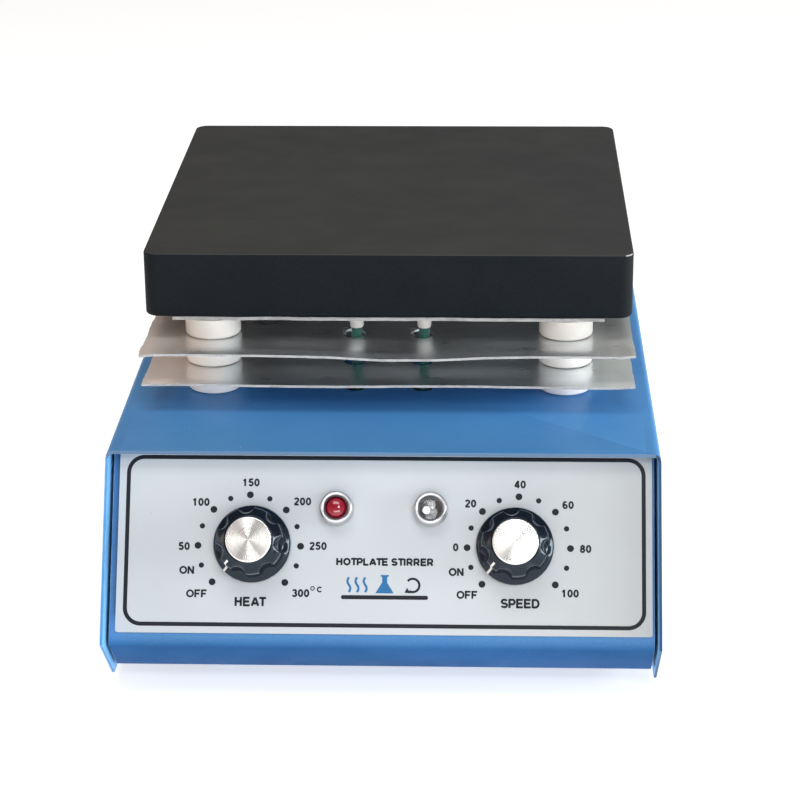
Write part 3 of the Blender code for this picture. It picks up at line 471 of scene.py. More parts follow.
# ---- building pieces
def show(name, data):
    """Put a mesh, curve, light or camera in the scene."""
    made = bpy.data.objects.new(name, data)
    bpy.context.scene.collection.objects.link(made)
    return made


def shade(mesh, angle=CREASE):
    """Smooth shading, broken at edges that are sharper than the angle."""
    mesh.shade_smooth()
    mesh.set_sharp_from_angle(angle=radians(angle))


def piece(name, mesh, look, body="base", place=Matrix(), smooth=CREASE):
    """Show a mesh as a piece that rides on a body."""
    made = show(name, mesh)
    mesh.name = name
    mesh.materials.clear()
    mesh.materials.append(look.material)
    shade(mesh, smooth)
    made.matrix_world = place
    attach(made, body)
    return made


def stand_in(node, mesh, look, place=Matrix(), smooth=CREASE):
    """Show a mesh in place of a node."""
    made = piece(node + "_fine", mesh, look, NODES[node]["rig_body"], place, smooth=smooth)
    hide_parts(node)
    return made


def to_mesh(bm):
    bmesh.ops.recalc_face_normals(bm, faces=bm.faces)
    mesh = bpy.data.meshes.new("piece")
    bm.to_mesh(mesh)
    bm.free()
    return mesh


def baked_mesh(made):
    """A mesh of the object with its modifiers, or of a curve with its bevel."""
    bpy.context.view_layer.update()
    return bpy.data.meshes.new_from_object(made.evaluated_get(bpy.context.evaluated_depsgraph_get()))


def bake(made):
    """Turn a piece's modifiers into its own mesh."""
    mesh = baked_mesh(made)
    made.modifiers.clear()
    made.data = mesh


def carve(made, cutters):
    """Cut (mesh, place) shapes out of a piece."""
    tools = []
    for mesh, place in cutters:
        tools.append(show("cutter", mesh))
        tools[-1].matrix_world = place
        cut = made.modifiers.new("cut", 'BOOLEAN')
        cut.solver = 'EXACT'
        cut.object = tools[-1]
    bake(made)
    for tool in tools:
        bpy.data.objects.remove(tool)


def refined(node, look, edge=0.0, smooth=CREASE):
    """The node's own shape, with its edges softened and its round faces shaded smooth."""
    merged, flat, corner = 1e-5, radians(0.5), radians(50)
    bm = bmesh.new()
    bm.from_mesh(NODES[node].data)
    bmesh.ops.remove_doubles(bm, verts=bm.verts, dist=merged)
    bmesh.ops.dissolve_degenerate(bm, dist=merged, edges=bm.edges)
    bmesh.ops.dissolve_limit(bm, angle_limit=flat, verts=bm.verts, edges=bm.edges)
    made = stand_in(node, to_mesh(bm), look, smooth=smooth)
    if edge:
        bevel = made.modifiers.new("edges", 'BEVEL')
        bevel.limit_method = 'ANGLE'
        bevel.angle_limit = corner
        bevel.width = edge
        bevel.segments = 2
        bevel.harden_normals = True


def rounded(profile, radius, segments=4):
    """The same outline with its inner corners rounded."""
    points = [Vector(p) for p in profile]
    smooth = [points[0]]
    for before, corner, after in zip(points, points[1:], points[2:]):
        back, onward = before - corner, after - corner
        reach = min(radius, 0.45 * back.length, 0.45 * onward.length)
        start, end = corner + back.normalized() * reach, corner + onward.normalized() * reach
        for i in range(segments + 1):
            t = i / segments
            smooth.append(start * (1 - t) ** 2 + corner * 2 * t * (1 - t) + end * t ** 2)
    return smooth + [points[-1]]


def circle(count):
    """Angles spread over a full turn."""
    return [2 * pi * i / count for i in range(count)]


def skin(bm, rows, closed=True):
    """Faces between neighbouring rows of points; closed rows run round."""
    for first, second in zip(rows, rows[1:]):
        for i in range(len(first) - (0 if closed else 1)):
            j = (i + 1) % len(first)
            bm.faces.new((first[i], first[j], second[j], second[i]))


def closed_skin(bm, rows):
    """The mesh of rows that run round, with a face over the first and the last."""
    skin(bm, rows)
    bm.faces.new(rows[0])
    bm.faces.new(rows[-1])
    return to_mesh(bm)


def turned(profile, steps=96):
    """(radius, height) points turned about Z; ends off the axis are joined into a ring."""
    bm = bmesh.new()
    rings = [[bm.verts.new((radius * cos(angle), radius * sin(angle), height))
              for angle in (circle(steps) if radius else [0])] for radius, height in profile]
    after = rings[1:] + rings[:1] if profile[0][0] > 0 else rings[1:]
    for first, second in zip(rings, after):
        for i in range(steps):
            pairs = ((first, i), (first, i + 1), (second, i + 1), (second, i))
            bm.faces.new(list(dict.fromkeys(ring[k % len(ring)] for ring, k in pairs)))
    return to_mesh(bm)


def block(low, high, upright=0.0, top=0.0, bottom=0.0, segments=6):
    """A box with its upright, top and bottom edges rounded as asked."""
    bm = bmesh.new()
    low, high = Vector(low), Vector(high)
    bmesh.ops.create_cube(bm, size=1.0)
    for vert in bm.verts:
        vert.co = Vector(c * s for c, s in zip(vert.co, high - low)) + (low + high) / 2

    def bevel(edges, radius):
        if radius:
            bmesh.ops.bevel(bm, geom=edges, offset=radius, segments=segments, profile=0.5, affect='EDGES')

    bevel([e for e in bm.edges if abs(e.verts[0].co.z - e.verts[1].co.z) > 1e-6], upright)
    for height, radius in ((high.z, top), (low.z, bottom)):
        bevel([e for e in bm.edges if all(abs(v.co.z - height) < 1e-6 for v in e.verts)], radius)
    return to_mesh(bm)


def extruded(outline, low=0, high=FILM):
    """A flat outline of (x, y) points raised from low to high."""
    bm = bmesh.new()
    face = bm.faces.new([bm.verts.new((x, y, low)) for x, y in outline])
    swept = bmesh.ops.extrude_face_region(bm, geom=[face])
    for item in swept["geom"]:
        if isinstance(item, bmesh.types.BMVert):
            item.co.z = high
    return to_mesh(bm)


def joined(meshes):
    bm = bmesh.new()
    for mesh in meshes:
        bm.from_mesh(mesh)
    return to_mesh(bm)


def rounded_rectangle(low, high, radius):
    segments = 8
    left, right, bottom, top = low[0] + radius, high[0] - radius, low[1] + radius, high[1] - radius
    points = []
    for quarter, (x, y) in enumerate(((right, top), (left, top), (left, bottom), (right, bottom))):
        for i in range(segments + 1):
            angle = quarter * pi / 2 + i * pi / 2 / segments
            points.append((x + radius * cos(angle), y + radius * sin(angle)))
    return points


def band(outer, inner):
    """A printed ring between two outlines with the same number of points."""
    bm = bmesh.new()
    rows = [[bm.verts.new((x, y, z)) for x, y in outline]
            for outline, z in ((outer, 0), (outer, FILM), (inner, FILM), (inner, 0))]
    skin(bm, rows + rows[:1])
    return to_mesh(bm)


def ribbon(points, width):
    """A printed strip along (x, y) points, closed when it ends where it starts."""
    points = [Vector(p) for p in points]
    closed = (points[0] - points[-1]).length < 1e-7
    if closed:
        points.pop()
    left, right = [], []
    for i, point in enumerate(points):
        before, after = i - 1, (i + 1) % len(points)
        if not closed:
            before, after = max(before, 0), min(i + 1, len(points) - 1)
        run = (points[after] - points[before]).normalized()
        side = Vector((-run.y, run.x)) * width / 2
        left.append(tuple(point + side))
        right.append(tuple(point - side))
    bm = bmesh.new()
    rows = [[bm.verts.new((x, y, z)) for x, y in row]
            for row, z in ((left, 0), (left, FILM), (right, FILM), (right, 0))]
    skin(bm, rows + rows[:1], closed)
    for end in () if closed else (0, -1):
        bm.faces.new([row[end] for row in rows])
    return to_mesh(bm)


# ---- base
def base():
    refined("outer_cover", BLUE, 0.0003)
    refined("chassis", SHADED_BLUE_CHASSIS, 0.0003)
    refined("faceplate", FACE, 0.00015)


def cover_screws():
    """Pan heads with a cross recess."""
    rise, under_head, shank = 0.002, 0.0003, 0.0015
    slot = block((-0.0018, -0.0003, 0.0011), (0.0018, 0.0003, 0.003))
    for side, sign in (("left", -1), ("right", 1)):
        for end in ("front", "rear"):
            node = "cover_screw_%s_%s" % (side, end)
            low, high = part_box(node)
            length, head = high.x - low.x - rise, (high.z - low.z) / 2
            profile = [(0, rise), (head * 0.55, rise), (head * 0.9, rise * 0.55), (head, under_head),
                       (shank, under_head), (shank, -length), (0, -length)]
            outer = low.x + rise if side == "left" else high.x - rise
            place = (shift((outer, (low.y + high.y) / 2, (low.z + high.z) / 2))
                     @ Matrix.Rotation(sign * pi / 2, 4, 'Y'))
            made = stand_in(node, turned(rounded(profile, 0.0004), 48), STEEL, place)
            carve(made, [(slot, place), (slot, place @ Matrix.Rotation(pi / 2, 4, 'Z'))])


def feet():
    """Moulded feet, each with its screw in the recess."""
    recess, roof, edge = 0.0045, 0.004, 0.0012
    for corner in CORNERS:
        node = "foot_" + corner
        low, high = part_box(node)
        radius, height = (high.x - low.x) / 2, high.z
        profile = [(0, height), (radius * 0.82, height), (radius, height - edge), (radius, edge),
                   (radius - edge, 0), (recess, 0), (recess, roof), (0, roof)]
        place = shift(foot_of(node))
        stand_in(node, turned(rounded(profile, 0.0006), 64), RUBBER, place)
        screw = rounded([(0, 0.0018), (0.0022, 0.002), (0.0034, 0.0034), (0.0034, roof), (0, roof)], 0.0004)
        piece("foot_screw_" + corner, turned(screw, 32), STEEL, place=place)


# ---- faceplate printing
def arc(x, y, wide, tall, start=0, end=360, steps=24):
    """Points along an oval, by angles in degrees; the far end may be lower than the start."""
    return [(x + wide * cos(radians(start + (end - start) * i / steps)),
             y + tall * sin(radians(start + (end - start) * i / steps))) for i in range(steps + 1)]


LEFT, RIGHT, BOTTOM, TOP = 0.095, 0.715, 0.085, 0.915       # middles of the strokes at a letter's edges
STEM, FAR_STEM = [(LEFT, 0), (LEFT, 1)], [(RIGHT, 0), (RIGHT, 1)]
BOWL = [(LEFT, TOP)] + arc(0.47, 0.665, 0.235, 0.25, 90, -90) + [(LEFT, 0.415)]
# Plain capitals and figures one unit tall: how far each moves the next one on, and its strokes' middles.
LETTERS = {
    "0": (0.78, [arc(0.34, 0.5, 0.235, 0.405)]),
    "1": (0.78, [[(0.36, 0), (0.36, 1)], [(0.38, 0.88), (0.12, 0.7)]]),
    "2": (0.78, [arc(0.34, 0.7, 0.225, 0.21, 170, -35) + [(0.12, 0.12)], [(0.04, BOTTOM), (0.64, BOTTOM)]]),
    "3": (0.78, [arc(0.33, 0.71, 0.2, 0.195, 165, -90), arc(0.33, 0.3, 0.235, 0.21, 90, -165)]),
    "4": (0.78, [[(0.47, 0), (0.47, 1)], [(0.45, 0.95), (0.07, 0.3)], [(0.01, 0.27), (0.67, 0.27)]]),
    "5": (0.78, [[(0.16, TOP), (0.6, TOP)], [(0.2, 0.98), (0.13, 0.48)],
                 arc(0.34, 0.33, 0.23, 0.24, 140, -160)]),
    "6": (0.78, [arc(0.34, 0.31, 0.225, 0.215), arc(0.37, 0.5, 0.255, 0.405, 55, 190)]),
    "8": (0.78, [arc(0.34, 0.72, 0.185, 0.19), arc(0.34, 0.3, 0.225, 0.21)]),
    "A": (1, [[(0.1, 0.03), (0.48, 0.96)], [(0.52, 0.96), (0.9, 0.03)], [(0.25, 0.3), (0.75, 0.3)]]),
    "C": (1, [arc(0.49, 0.5, 0.385, 0.405, 42, 318)]),
    "D": (1, [STEM, [(LEFT, TOP)] + arc(0.42, 0.5, 0.36, 0.415, 90, -90) + [(LEFT, BOTTOM)]]),
    "E": (0.93, [STEM, [(0, TOP), (0.77, TOP)], [(0, 0.51), (0.71, 0.51)], [(0, BOTTOM), (0.79, BOTTOM)]]),
    "F": (0.86, [STEM, [(0, TOP), (0.72, TOP)], [(0, 0.48), (0.62, 0.48)]]),
    "H": (1, [STEM, FAR_STEM, [(LEFT, 0.52), (RIGHT, 0.52)]]),
    "I": (0.39, [STEM]),
    "L": (0.84, [STEM, [(0, BOTTOM), (0.72, BOTTOM)]]),
    "N": (1, [STEM, FAR_STEM, [(0.12, 0.94), (0.69, 0.06)]]),
    "O": (1.08, [arc(0.49, 0.5, 0.395, 0.405)]),
    "P": (0.92, [STEM, BOWL]),
    "R": (1, [STEM, BOWL, [(0.42, 0.42), (0.76, 0.03)]]),
    "S": (0.93, [arc(0.41, 0.705, 0.3, 0.205, 18, 270) + arc(0.41, 0.295, 0.315, 0.205, 90, -165)[1:]]),
    "T": (0.84, [[(0, TOP), (0.82, TOP)], [(0.41, 0), (0.41, 0.95)]]),
    " ": (0.4, []),
}


def lettering(words, x, y, height, weight=0.25, wide=1.0):
    """Printed words centred on a place of the panel, with this capital height."""
    width, meshes = 0.0, []
    for letter in words:
        onward, strokes = LETTERS[letter]
        for stroke in strokes:
            points = [((px * wide + width) * height, py * height) for px, py in stroke]
            meshes.append(ribbon(points, weight * height))
        width += onward * wide
    mesh = joined(meshes)
    mesh.transform(shift((x - (width * height - 0.13 * wide * height) / 2, y - height / 2, 0)))
    return mesh


def printed(name, mesh, look=INK):
    piece(name, mesh, look, place=PANEL)


def printing():
    """Border, dial dots, numbers and names."""
    low, high, half = Vector(BORDER_LOW), Vector(BORDER_HIGH), BORDER_WIDTH / 2
    out = Vector((half, half))
    printed("printed_border", band(rounded_rectangle(low - out, high + out, BORDER_CORNER + half),
                                   rounded_rectangle(low + out, high - out, BORDER_CORNER - half)))
    dots = []
    for middle in DOT_X:
        for i in range(DOTS):
            angle = (i - DOTS // 2) * DOT_STEP
            radius = DOT_SMALL if i % 2 else DOT_BIG
            dot = turned([(0, FILM), (radius, FILM), (radius, 0), (0, 0)], 32)
            dot.transform(shift((middle + DOT_RING * sin(angle), DOT_RING * cos(angle), 0)))
            dots.append(dot)
    printed("printed_dots", joined(dots))
    # Places of the words in millimetres on the panel, and their capital heights where they aren't small.
    small, large, tiny = 3, 3.5, 2.2
    words = [("150", -52, 25.1), ("100", -71.6, 17.2), ("200", -31.5, 17.7), ("50", -77.8, -0.3),
             ("250", -25.1, 0.15), ("ON", -76.4, -9.7), ("OFF", -72.4, -18.9), ("HEAT", -51.3, -21.9, large),
             ("300", -31.6, -18.4), ("C", -24.2, -16.9, tiny), ("40", 54, 25.1), ("20", 34.6, 17.4),
             ("60", 72.8, 17.1), ("0", 28.9, 0.1), ("80", 79.65, -0.1), ("ON", 29.3, -9.6),
             ("OFF", 33.5, -18.5), ("100", 73.6, -17.6), ("SPEED", 54.2, -21.7, large)]
    meshes = []
    for text, x, y, *rest in words:
        height = rest[0] if rest else small
        meshes.append(lettering(text, x * MM, y * MM, height * MM, wide=0.93 if height == large else 1.0))
    outer, inner = [[((-26.9 + radius * cos(a)) * MM, (-16.5 + radius * sin(a)) * MM) for a in circle(24)]
                    for radius in (0.9, 0.5)]
    meshes.append(band(outer, inner))
    printed("printed_words", joined(meshes))
    printed("printed_title", lettering("HOTPLATE STIRRER", 1.3 * MM, -5.9 * MM, 2.75 * MM, 0.29))


def sign():
    """A plain sign: heat waves, a flask, a turning arrow, and the plate under them."""
    floor, middle, line = -20.6 * MM, 1.3 * MM, 0.9 * MM
    half_bar = 17 * MM
    bar = rounded_rectangle((middle - half_bar, floor), (middle + half_bar, floor + 1.6 * MM), 0.7 * MM)
    waves = []
    for column in range(3):
        x = middle + (-14 + 3.2 * column) * MM
        points = [(x + 0.6 * MM * sin(2 * pi * t / 12), floor + (2.8 + 0.48 * t) * MM) for t in range(13)]
        waves.append(ribbon(points, line))
    neck, body, lip = 1 * MM, 3.6 * MM, 1.6 * MM
    bottom, shoulder, top = floor + 2.4 * MM, floor + 6.6 * MM, floor + 9.6 * MM
    below_lip = top - 0.7 * MM
    side = [(body, bottom), (neck, shoulder), (neck, below_lip), (lip, below_lip), (lip, top)]
    flask = [(middle - body, bottom)] + [(middle + x, y) for x, y in side]
    flask += [(middle - x, y) for x, y in side[:0:-1]]
    radius = 2.6 * MM
    turn = arc(middle + 11 * MM, floor + 5.6 * MM, radius, radius, 140, -120, 20)
    head = [tuple(Vector(turn[-1]) + Vector(off) * MM) for off in ((-1.9, -0.6), (0.5, -0.9), (-0.9, 1.3))]
    printed("sign_plate", joined([extruded(bar), ribbon(turn, line), extruded(head)]))
    printed("sign_flask", joined(waves + [extruded(flask)]), BLUE_INK)


# ---- knobs
def grip_reach(angle, radius, depth):
    """How far out the grip goes at an angle: to its radius on a lobe, and less in a round flute."""
    pitch = 2 * pi / KNOB_LOBES
    off_flute = (angle - KNOB_POINTER) % pitch - pitch / 2
    centre = radius - depth + FLUTE_RADIUS
    aside = centre * sin(off_flute)
    if abs(aside) >= FLUTE_RADIUS:
        return radius
    cut = centre * cos(off_flute) - sqrt(FLUTE_RADIUS ** 2 - aside ** 2)
    if cut >= radius:
        return radius
    soft = 0.0002
    return -soft * 0.5 * (sqrt(((radius - cut) / soft) ** 2 + 1) - (radius + cut) / soft)


# The knob's outside from the skirt to the cap: radius, height, and how deep the flutes go there.
KNOB_SIDE = [(0.0152, 0.002, 0), (0.01505, 0.0025, 0), (0.0146, 0.003, 0), (0.014, 0.0034, 0.0002),
             (0.0136, 0.0038, 0.0008), (0.0133, 0.0044, 0.0014), (0.0132, 0.0056, 0.0018),
             (0.0131, 0.009, 0.002), (0.01305, 0.013, 0.002), (0.0129, 0.0139, 0.002),
             (0.0127, 0.0143, 0.0019), (0.0123, 0.01465, 0.0017), (0.0113, 0.0153, 0.0008),
             (0.0102, 0.016, 0), (0.0097, 0.0165, 0), (0.0094, 0.0168, 0)]


def knob(kind, at):
    """Polished black knob: skirt, fluted grip, spun cap and painted pointer."""
    node = kind + "_knob"
    place = shift(at) @ PANEL_TURN
    bore, root, hollow, under, skirt = 0.0033, 0.0042, 0.0085, 0.0008, 0.0152
    cap, cap_edge, cap_seat, soft = 0.0089, 0.0174, 0.016, 0.0003
    wall, rim = cap + 0.0002, KNOB_SIDE[-1][1]
    inside = [(bore, 0.0125), (bore, root), (hollow, root), (hollow, under), (skirt - soft, under),
              (skirt, 0.0012)]
    rings = [(r, z, 0) for r, z in inside] + KNOB_SIDE + [(wall, rim, 0), (wall, cap_seat, 0)]
    bm = bmesh.new()
    rows = []
    for radius, height, depth in rings:
        row = []
        for turn in circle(KNOB_LOBES * STEPS_PER_LOBE):
            angle = KNOB_POINTER + turn
            reach = grip_reach(angle, radius, depth)
            row.append(bm.verts.new((reach * sin(angle), reach * cos(angle), height)))
        rows.append(row)
    stand_in(node, closed_skin(bm, rows), BLACK_GLOSS, place, 60)
    disc = rounded([(0, cap_edge), (cap - soft, cap_edge + soft), (cap, cap_edge), (cap, cap_seat + soft),
                    (0, cap_seat + soft)], soft)
    stand_in(node + "_cap", turned(disc, 128), CAP, place)
    piece(node + "_pointer", pointer(), WHITE_PAINT, node, place)


def pointer():
    """A painted line out along the shoulder, down the lobe and over the skirt, just proud of the surface."""
    proud = 6e-5
    path = [Vector((radius, height)) for radius, height, _ in KNOB_SIDE[:-3]]
    outward = Vector((sin(KNOB_POINTER), cos(KNOB_POINTER), 0))
    across = Vector((outward.y, -outward.x, 0)) * POINTER_WIDTH / 2
    bm = bmesh.new()
    rows = []
    for i, point in enumerate(path):
        run = (path[min(i + 1, len(path) - 1)] - path[max(i - 1, 0)]).normalized()
        under, over = [outward * (point.x + run.y * offset) + Vector((0, 0, point.y - run.x * offset))
                       for offset in (-proud, proud)]
        rows.append([bm.verts.new(corner)
                     for corner in (under - across, over - across, over + across, under + across)])
    return closed_skin(bm, rows)


# ---- lamps
def lamp(kind, lens_look):
    """Chrome bezel, dark inner rim, domed lens and the little bulb behind it."""
    node = kind + "_lamp"
    low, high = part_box(node + "_lens")
    in_panel = PANEL.inverted() @ ((low + high) / 2)
    place = PANEL @ shift((in_panel.x, in_panel.y, 0))
    barrel, barrel_end, mouth, seat = 0.0049, -0.024, 0.0047, 0.0018
    nut, nut_front, nut_back = 0.0075, -0.0026, -0.0051
    bezel = [(mouth, 0.0056), (0.005, 0.0064), (0.0059, 0.0066), (0.0065, 0.0058), (0.0065, 0.0026),
             (0.0068, 0.0022), (0.0068, 0.0003), (barrel, 0.0003), (barrel, nut_front), (nut, nut_front),
             (nut, nut_back), (barrel, nut_back), (barrel, barrel_end), (0, barrel_end)]
    shell = [(0, seat), (mouth, seat)] + [tuple(p) for p in rounded(bezel, 0.0004)]
    stand_in(node, turned(shell), CHROME, place)
    liner = turned([(0.00462, 0.0022), (0.00462, 0.0056), (0.00435, 0.0056), (0.00435, 0.0022)], 64)
    piece(node + "_liner", liner, DARK_METAL, place=place)
    radius, shoulder, rise = 0.0043, 0.0036, 0.0025
    dome = [(radius * sin(a), shoulder + rise * cos(a)) for a in (pi / 2 * i / 12 for i in range(13))]
    dome += [(radius, 0.0021), (0, 0.0021)]
    stand_in(node + "_lens", turned(dome, 64), lens_look, place)
    edge, top, bottom = mouth - 0.0002, seat + 0.00012, seat + 2e-5
    well = turned([(0, top), (edge, top), (edge, bottom), (0, bottom)], 48)
    piece(node + "_well", well, DARK_METAL, place=place)
    petals = []
    for i in range(3):
        angle = radians(75 + 120 * i)
        petal = turned([(0, 0.0002), (0.0008, 0.00018), (0.0012, 0.0001), (0.0012, 0), (0, 0)], 24)
        petal.transform(shift((0.0013 * cos(angle), 0.0013 * sin(angle), seat + 0.0001)))
        petals.append(petal)
    piece(node + "_bulb", joined(petals), CHROME, place=place)


# ---- plate, shields, spacers
def hot_plate():
    """The casting, hollow underneath: crisp top edge, softer lower edge."""
    made = stand_in("hot_plate", block(PLATE_LOW, PLATE_HIGH, 0.0055, 0.0008, 0.0014, 8), CASTING)
    low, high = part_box("heater_insulation")
    margin, floor, ceiling = Vector((0.002, 0.002)), PLATE_LOW.z - 0.01, PLATE_LOW.z + 0.015
    hollow = block((*(low.xy - margin), floor), (*(high.xy + margin), ceiling), 0.003)
    notch = block((-0.024, low.y - 0.022, floor), (0.024, low.y, ceiling), 0.003)
    carve(made, [(hollow, Matrix()), (notch, Matrix())])
    shade(made.data)


def drill(radius, low, high, waver=0.0):
    """A round or slightly torn drill shape."""
    outline = []
    for angle in circle(40):
        reach = radius * (1 + waver * noise.noise(Vector((2 * cos(angle), 2 * sin(angle), radius * 900))))
        outline.append((reach * cos(angle), reach * sin(angle)))
    return extruded(outline, low, high)


def wavy_sheet(node, look, edge_look, lift, ragged, lead_radius, lead_shift=(0, 0, 0), stretch=1.0,
               left_inset=0.0):
    """A hand-cut sheet: not quite flat, with uneven edges and holes for the bolts and leads."""
    low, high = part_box(node)
    columns, rows, crowding = 140, 120, 1.35

    def unevenness(along, waves, seed, layer=90):
        return abs(noise.noise(Vector((along * waves, seed, low.z * layer))))

    def near(fraction):
        """1 at an edge, 0 from a ninth of the way to the other one."""
        return max(0.0, 1 - 9 * fraction)

    bm = bmesh.new()
    grid = []
    for j in range(rows + 1):
        v = j / rows
        row = []
        for i in range(columns + 1):
            u = i / columns
            x, y = low.x + (high.x - low.x) * u, low.y + (high.y - low.y) * v ** crowding
            edge = ragged * (unevenness(x, 60, 3.1) + 0.2 * unevenness(x, 320, 7.7))
            side = ragged * 1.6 * unevenness(y, 160, 5.3 if u < 0.5 else 9.1, 70)
            y += edge * near(v)
            x += (side + left_inset) * near(u) - 0.5 * side * near(1 - u)
            row.append(bm.verts.new((x, y, high.z + lift(x, y))))
        grid.append(row)
    skin(bm, grid, False)
    made = stand_in(node, to_mesh(bm), look)
    if made.data.polygons[0].normal.z < 0:
        made.data.flip_normals()
    shell = made.modifiers.new("sheet", 'SOLIDIFY')
    shell.thickness = high.z - low.z
    shell.offset = -1
    shell.material_offset_rim = 1
    made.data.materials.append(edge_look.material)
    bake(made)
    span = (low.z - 0.004, high.z + 0.006)
    cutters = [(drill(BOLT_HOLE, *span), shift(foot_of("plate_bolt_" + corner))) for corner in CORNERS]
    cutters += [(drill(lead_radius, *span, waver=0.12), shift(at + Vector(lead_shift))
                 @ Matrix.Diagonal((1, stretch, 1, 1))) for at in LEADS.values()]
    carve(made, cutters)
    shade(made.data)


def smooth_step(value, start, end):
    t = min(max((value - start) / (end - start), 0.0), 1.0)
    return t * t * (3 - 2 * t)


def shields():
    """Two bright sheets whose fronts spring up past the spacers; the upper one also sags in the middle."""
    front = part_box("upper_heat_shield")[0].y
    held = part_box("spacer_upper_front_left")[0].y

    def overhang(y):
        return smooth_step(y, held + 0.006, front + 0.004)

    def upper(x, y):
        rise = 0.0023 - 0.0018 * exp(-((x - 0.008) / 0.03) ** 2)
        corner = 0.0005 * smooth_step(x, 0.094, 0.1) - 0.0006 * smooth_step(x, -0.094, -0.1)
        return (rise + corner) * overhang(y) + 0.00015 * noise.noise(Vector((x * 38, y * 38, 1.0)))

    def lower(x, y):
        rise = 0.0013 + 0.0002 * sin(x * 60)
        corner = 0.0003 * smooth_step(x, 0.094, 0.1)
        return (rise + corner) * overhang(y) + 0.00012 * noise.noise(Vector((x * 34, y * 34, 5.0)))

    punched = {"lead_radius": 0.0048, "lead_shift": (-0.0009, -0.0008, 0), "stretch": 1.18}
    wavy_sheet("upper_heat_shield", SHIELD_SHEET, SHEARED, upper, 0.0006, **punched)
    wavy_sheet("lower_heat_shield", SHIELD_SHEET, SHEARED, lower, 0.0004, left_inset=0.001, **punched)
    wavy_sheet("plate_bottom_sheet", UNDER_SHEET, DULL_EDGE, lambda x, y: 0.0, 0.001, 0.0034)


def hole_burrs():
    """Bright torn lips on the left of the upper shield's lead holes."""
    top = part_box("upper_heat_shield")[1].z
    reach, inset, count, first, step = 0.005, 0.0009, 14, 120, 8.5
    for side, at in LEADS.items():
        data = bpy.data.curves.new("burr", 'CURVE')
        data.dimensions = '3D'
        data.bevel_depth = 0.00028
        data.bevel_resolution = 3
        data.use_fill_caps = True
        spline = data.splines.new('POLY')
        spline.points.add(count - 1)
        for i, point in enumerate(spline.points):
            angle, swell = radians(first + step * i), sin(pi * i / (count - 1))
            point.co = (at.x - inset + reach * cos(angle), at.y + reach * sin(angle),
                        top + 0.0003 + 0.0011 * swell, 1)
            point.radius = 0.4 + 0.9 * swell
        source = show("burr", data)
        mesh = baked_mesh(source)
        bpy.data.objects.remove(source)
        piece("hole_burr_" + side, mesh, CHROME)


def spacers():
    for tier, look in (("lower", CERAMIC), ("middle", CERAMIC), ("upper", SHADED_CERAMIC)):
        for corner in CORNERS:
            node = "spacer_%s_%s" % (tier, corner)
            low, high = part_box(node)
            radius = (high.x - low.x) / 2
            profile = [(BOLT_HOLE, high.z), (radius, high.z), (radius, low.z + 0.0007),
                       (radius - 0.0006, low.z), (BOLT_HOLE, low.z)]
            stand_in(node, turned(rounded(profile, 0.0003, 3)), look, shift(foot_of(node)))


def leads():
    """Insulating beads on the heater's ends; the sleeves under them keep their shape."""
    for side, at in LEADS.items():
        node = "lead_insulator_" + side
        low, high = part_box(node)
        radius = (high.x - low.x) / 2
        profile = [(0, high.z), (radius * 0.9, high.z), (radius, high.z - 0.001), (radius, low.z + 0.003),
                   (radius * 0.88, low.z), (0, low.z)]
        stand_in(node, turned(rounded(profile, 0.0006), 64), SHADED_CERAMIC, shift(at))
        refined("lead_sleeve_" + side, SLEEVE, smooth=60)


# ---- rear fittings
def rear_fittings():
    """Inlet with brass pins, fuse holder with its quarter-turn cap."""
    refined("power_inlet", BLACK_MATT, 0.0003)
    refined("fuse_holder", BLACK_MATT, 0.0002)
    refined("fuse_cap", BLACK_GLOSS, 0.00015)
    middle, rear, plating = foot_of("power_inlet").x, FUSE_AT.y, 5e-5
    half_width, half_height = 0.001 + plating, 0.002 + plating
    for name, x, z in (("left", -0.007, -0.002), ("right", 0.007, -0.002), ("middle", 0, 0.002)):
        x, z = x + middle, z + FUSE_AT.z
        pin = block((x - half_width, rear - 0.0148, z - half_height),
                    (x + half_width, rear - 0.001 + plating, z + half_height), 0.0003)
        piece("inlet_pin_" + name, pin, BRASS)


# ---- inside
def inside():
    """Everything in the base keeps its CAD shape."""
    for look, nodes in ((STEEL, "heating_element"), (FIBRE, "heater_insulation"), (BLACK_MATT, "thermostat"),
                        (STEEL, "speed_control thermostat_shaft speed_control_shaft"),
                        (STEEL, "stirrer_motor motor_bracket motor_shaft"), (ALUMINIUM, "magnet_carrier"),
                        (FERRITE, "magnet_left magnet_right"), (BOARD, "control_board")):
        for node in nodes.split():
            refined(node, look)
    for corner in CORNERS:
        refined("plate_bolt_" + corner, STEEL)


# ---- stage
def area_light(name, location, size, power, colour):
    data = bpy.data.lights.new(name, 'AREA')
    data.shape = 'RECTANGLE'
    data.size, data.size_y = size
    data.energy = power
    data.color = colour
    made = show(name, data)
    made.location = location
    made.rotation_euler = (Vector(LIT_POINT) - Vector(location)).to_track_quat('-Z', 'Y').to_euler()


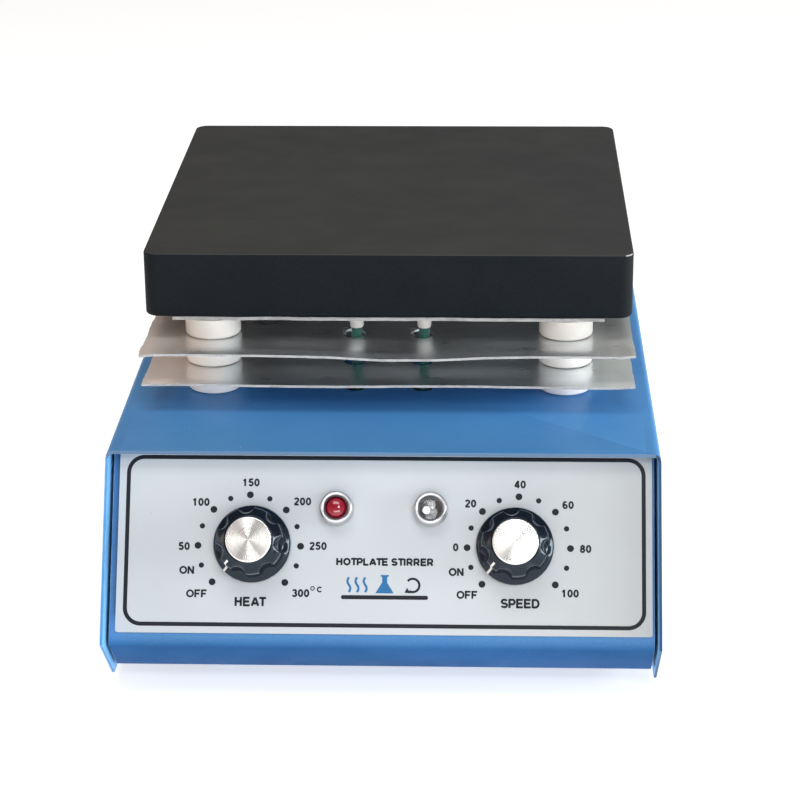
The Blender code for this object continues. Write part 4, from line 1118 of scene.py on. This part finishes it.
def stage():
    """Pale room that is warm on the left and brightest low down in front, five area lights, pale floor."""
    world = bpy.data.worlds.new("studio")
    bpy.context.scene.world = world
    world.use_nodes = True
    sky = Shades(world.node_tree)
    background = sky.tree.nodes["Background"].inputs
    direction = sky.node("TexCoord", {}).outputs["Generated"]
    warmth = sky.node("ValToRGB", {0: sky.fade(sky.part(direction, 0), -1.0, 1.0)})
    ramp = warmth.color_ramp.elements
    ramp[0].color = (1.0, 0.8, 0.68, 1.0)
    ramp[1].color = (0.93, 0.98, 1.0, 1.0)
    ramp.new(0.38).color = (1.0, 0.82, 0.72, 1.0)
    ramp.new(0.48).color = (0.94, 0.97, 1.0, 1.0)
    sky.feed(background["Color"], warmth.outputs[0])
    height = sky.fade(sky.part(direction, 2), 0.25, 0.65, 1.15, 0.5, interpolation_type='SMOOTHSTEP')
    depth = sky.fade(sky.part(direction, 1), -0.8, 0.8, 0.55, 0.36)
    sky.feed(background["Strength"], sky.calc("MULTIPLY", height, depth))
    area_light("window", (0.47, -1.55, 1.3), (0.42, 0.42), 7, (0.97, 0.99, 1.0))
    area_light("room", (0.1, -1.9, 0.42), (1.3, 0.4), 10, (1.0, 0.99, 0.98))
    area_light("right_wall", (1.7, -0.4, 0.34), (1.0, 0.5), 24, (0.94, 0.98, 1.0))
    area_light("left_wall", (-1.7, -0.2, 0.32), (1.0, 0.5), 3, (1.0, 0.8, 0.68))
    area_light("ceiling", (-0.1, -0.7, 1.7), (1.2, 0.7), 12, (1.0, 0.99, 0.97))
    mesh = bpy.data.meshes.new("floor")
    reach = 5.0
    corners = [(x * reach, y * reach, 0) for x, y in ((-1, -1), (1, -1), (1, 1), (-1, 1))]
    mesh.from_pydata(corners, [], [range(4)])
    floor = show("floor", mesh)
    paper = Look("pale_floor", (0.9, 0.9, 0.9), 0.8, Emission_Color=(1, 1, 1, 1), Emission_Strength=0.56)
    paper.mottle((0.87, 0.87, 0.88), 0.1, 0.4, 0.6, 0.3)
    mesh.materials.append(paper.material)


def camera():
    """From the front, a little to the right and above."""
    forward = Vector((sin(YAW) * cos(PITCH), cos(YAW) * cos(PITCH), -sin(PITCH)))
    level = Vector((cos(YAW), -sin(YAW), 0))
    upright = level.cross(forward)
    right = level * cos(ROLL) + upright * sin(ROLL)
    up = upright * cos(ROLL) - level * sin(ROLL)
    data = bpy.data.cameras.new("camera")
    data.sensor_width = 36.0
    data.lens = 110.284
    data.clip_start = 0.05
    made = show("camera", data)
    made.matrix_world = shift(CAMERA_AT) @ Matrix((right, up, -forward)).transposed().to_4x4()
    bpy.context.scene.camera = made


camera()
stage()
base()
cover_screws()
feet()
printing()
sign()
knob("heat", HEAT_AT)
knob("speed", SPEED_AT)
lamp("heat", RED)
lamp("power", CLEAR)
hot_plate()
shields()
hole_burrs()
spacers()
leads()
rear_fittings()
inside()
bpy.context.scene.view_settings.view_transform = 'Standard'
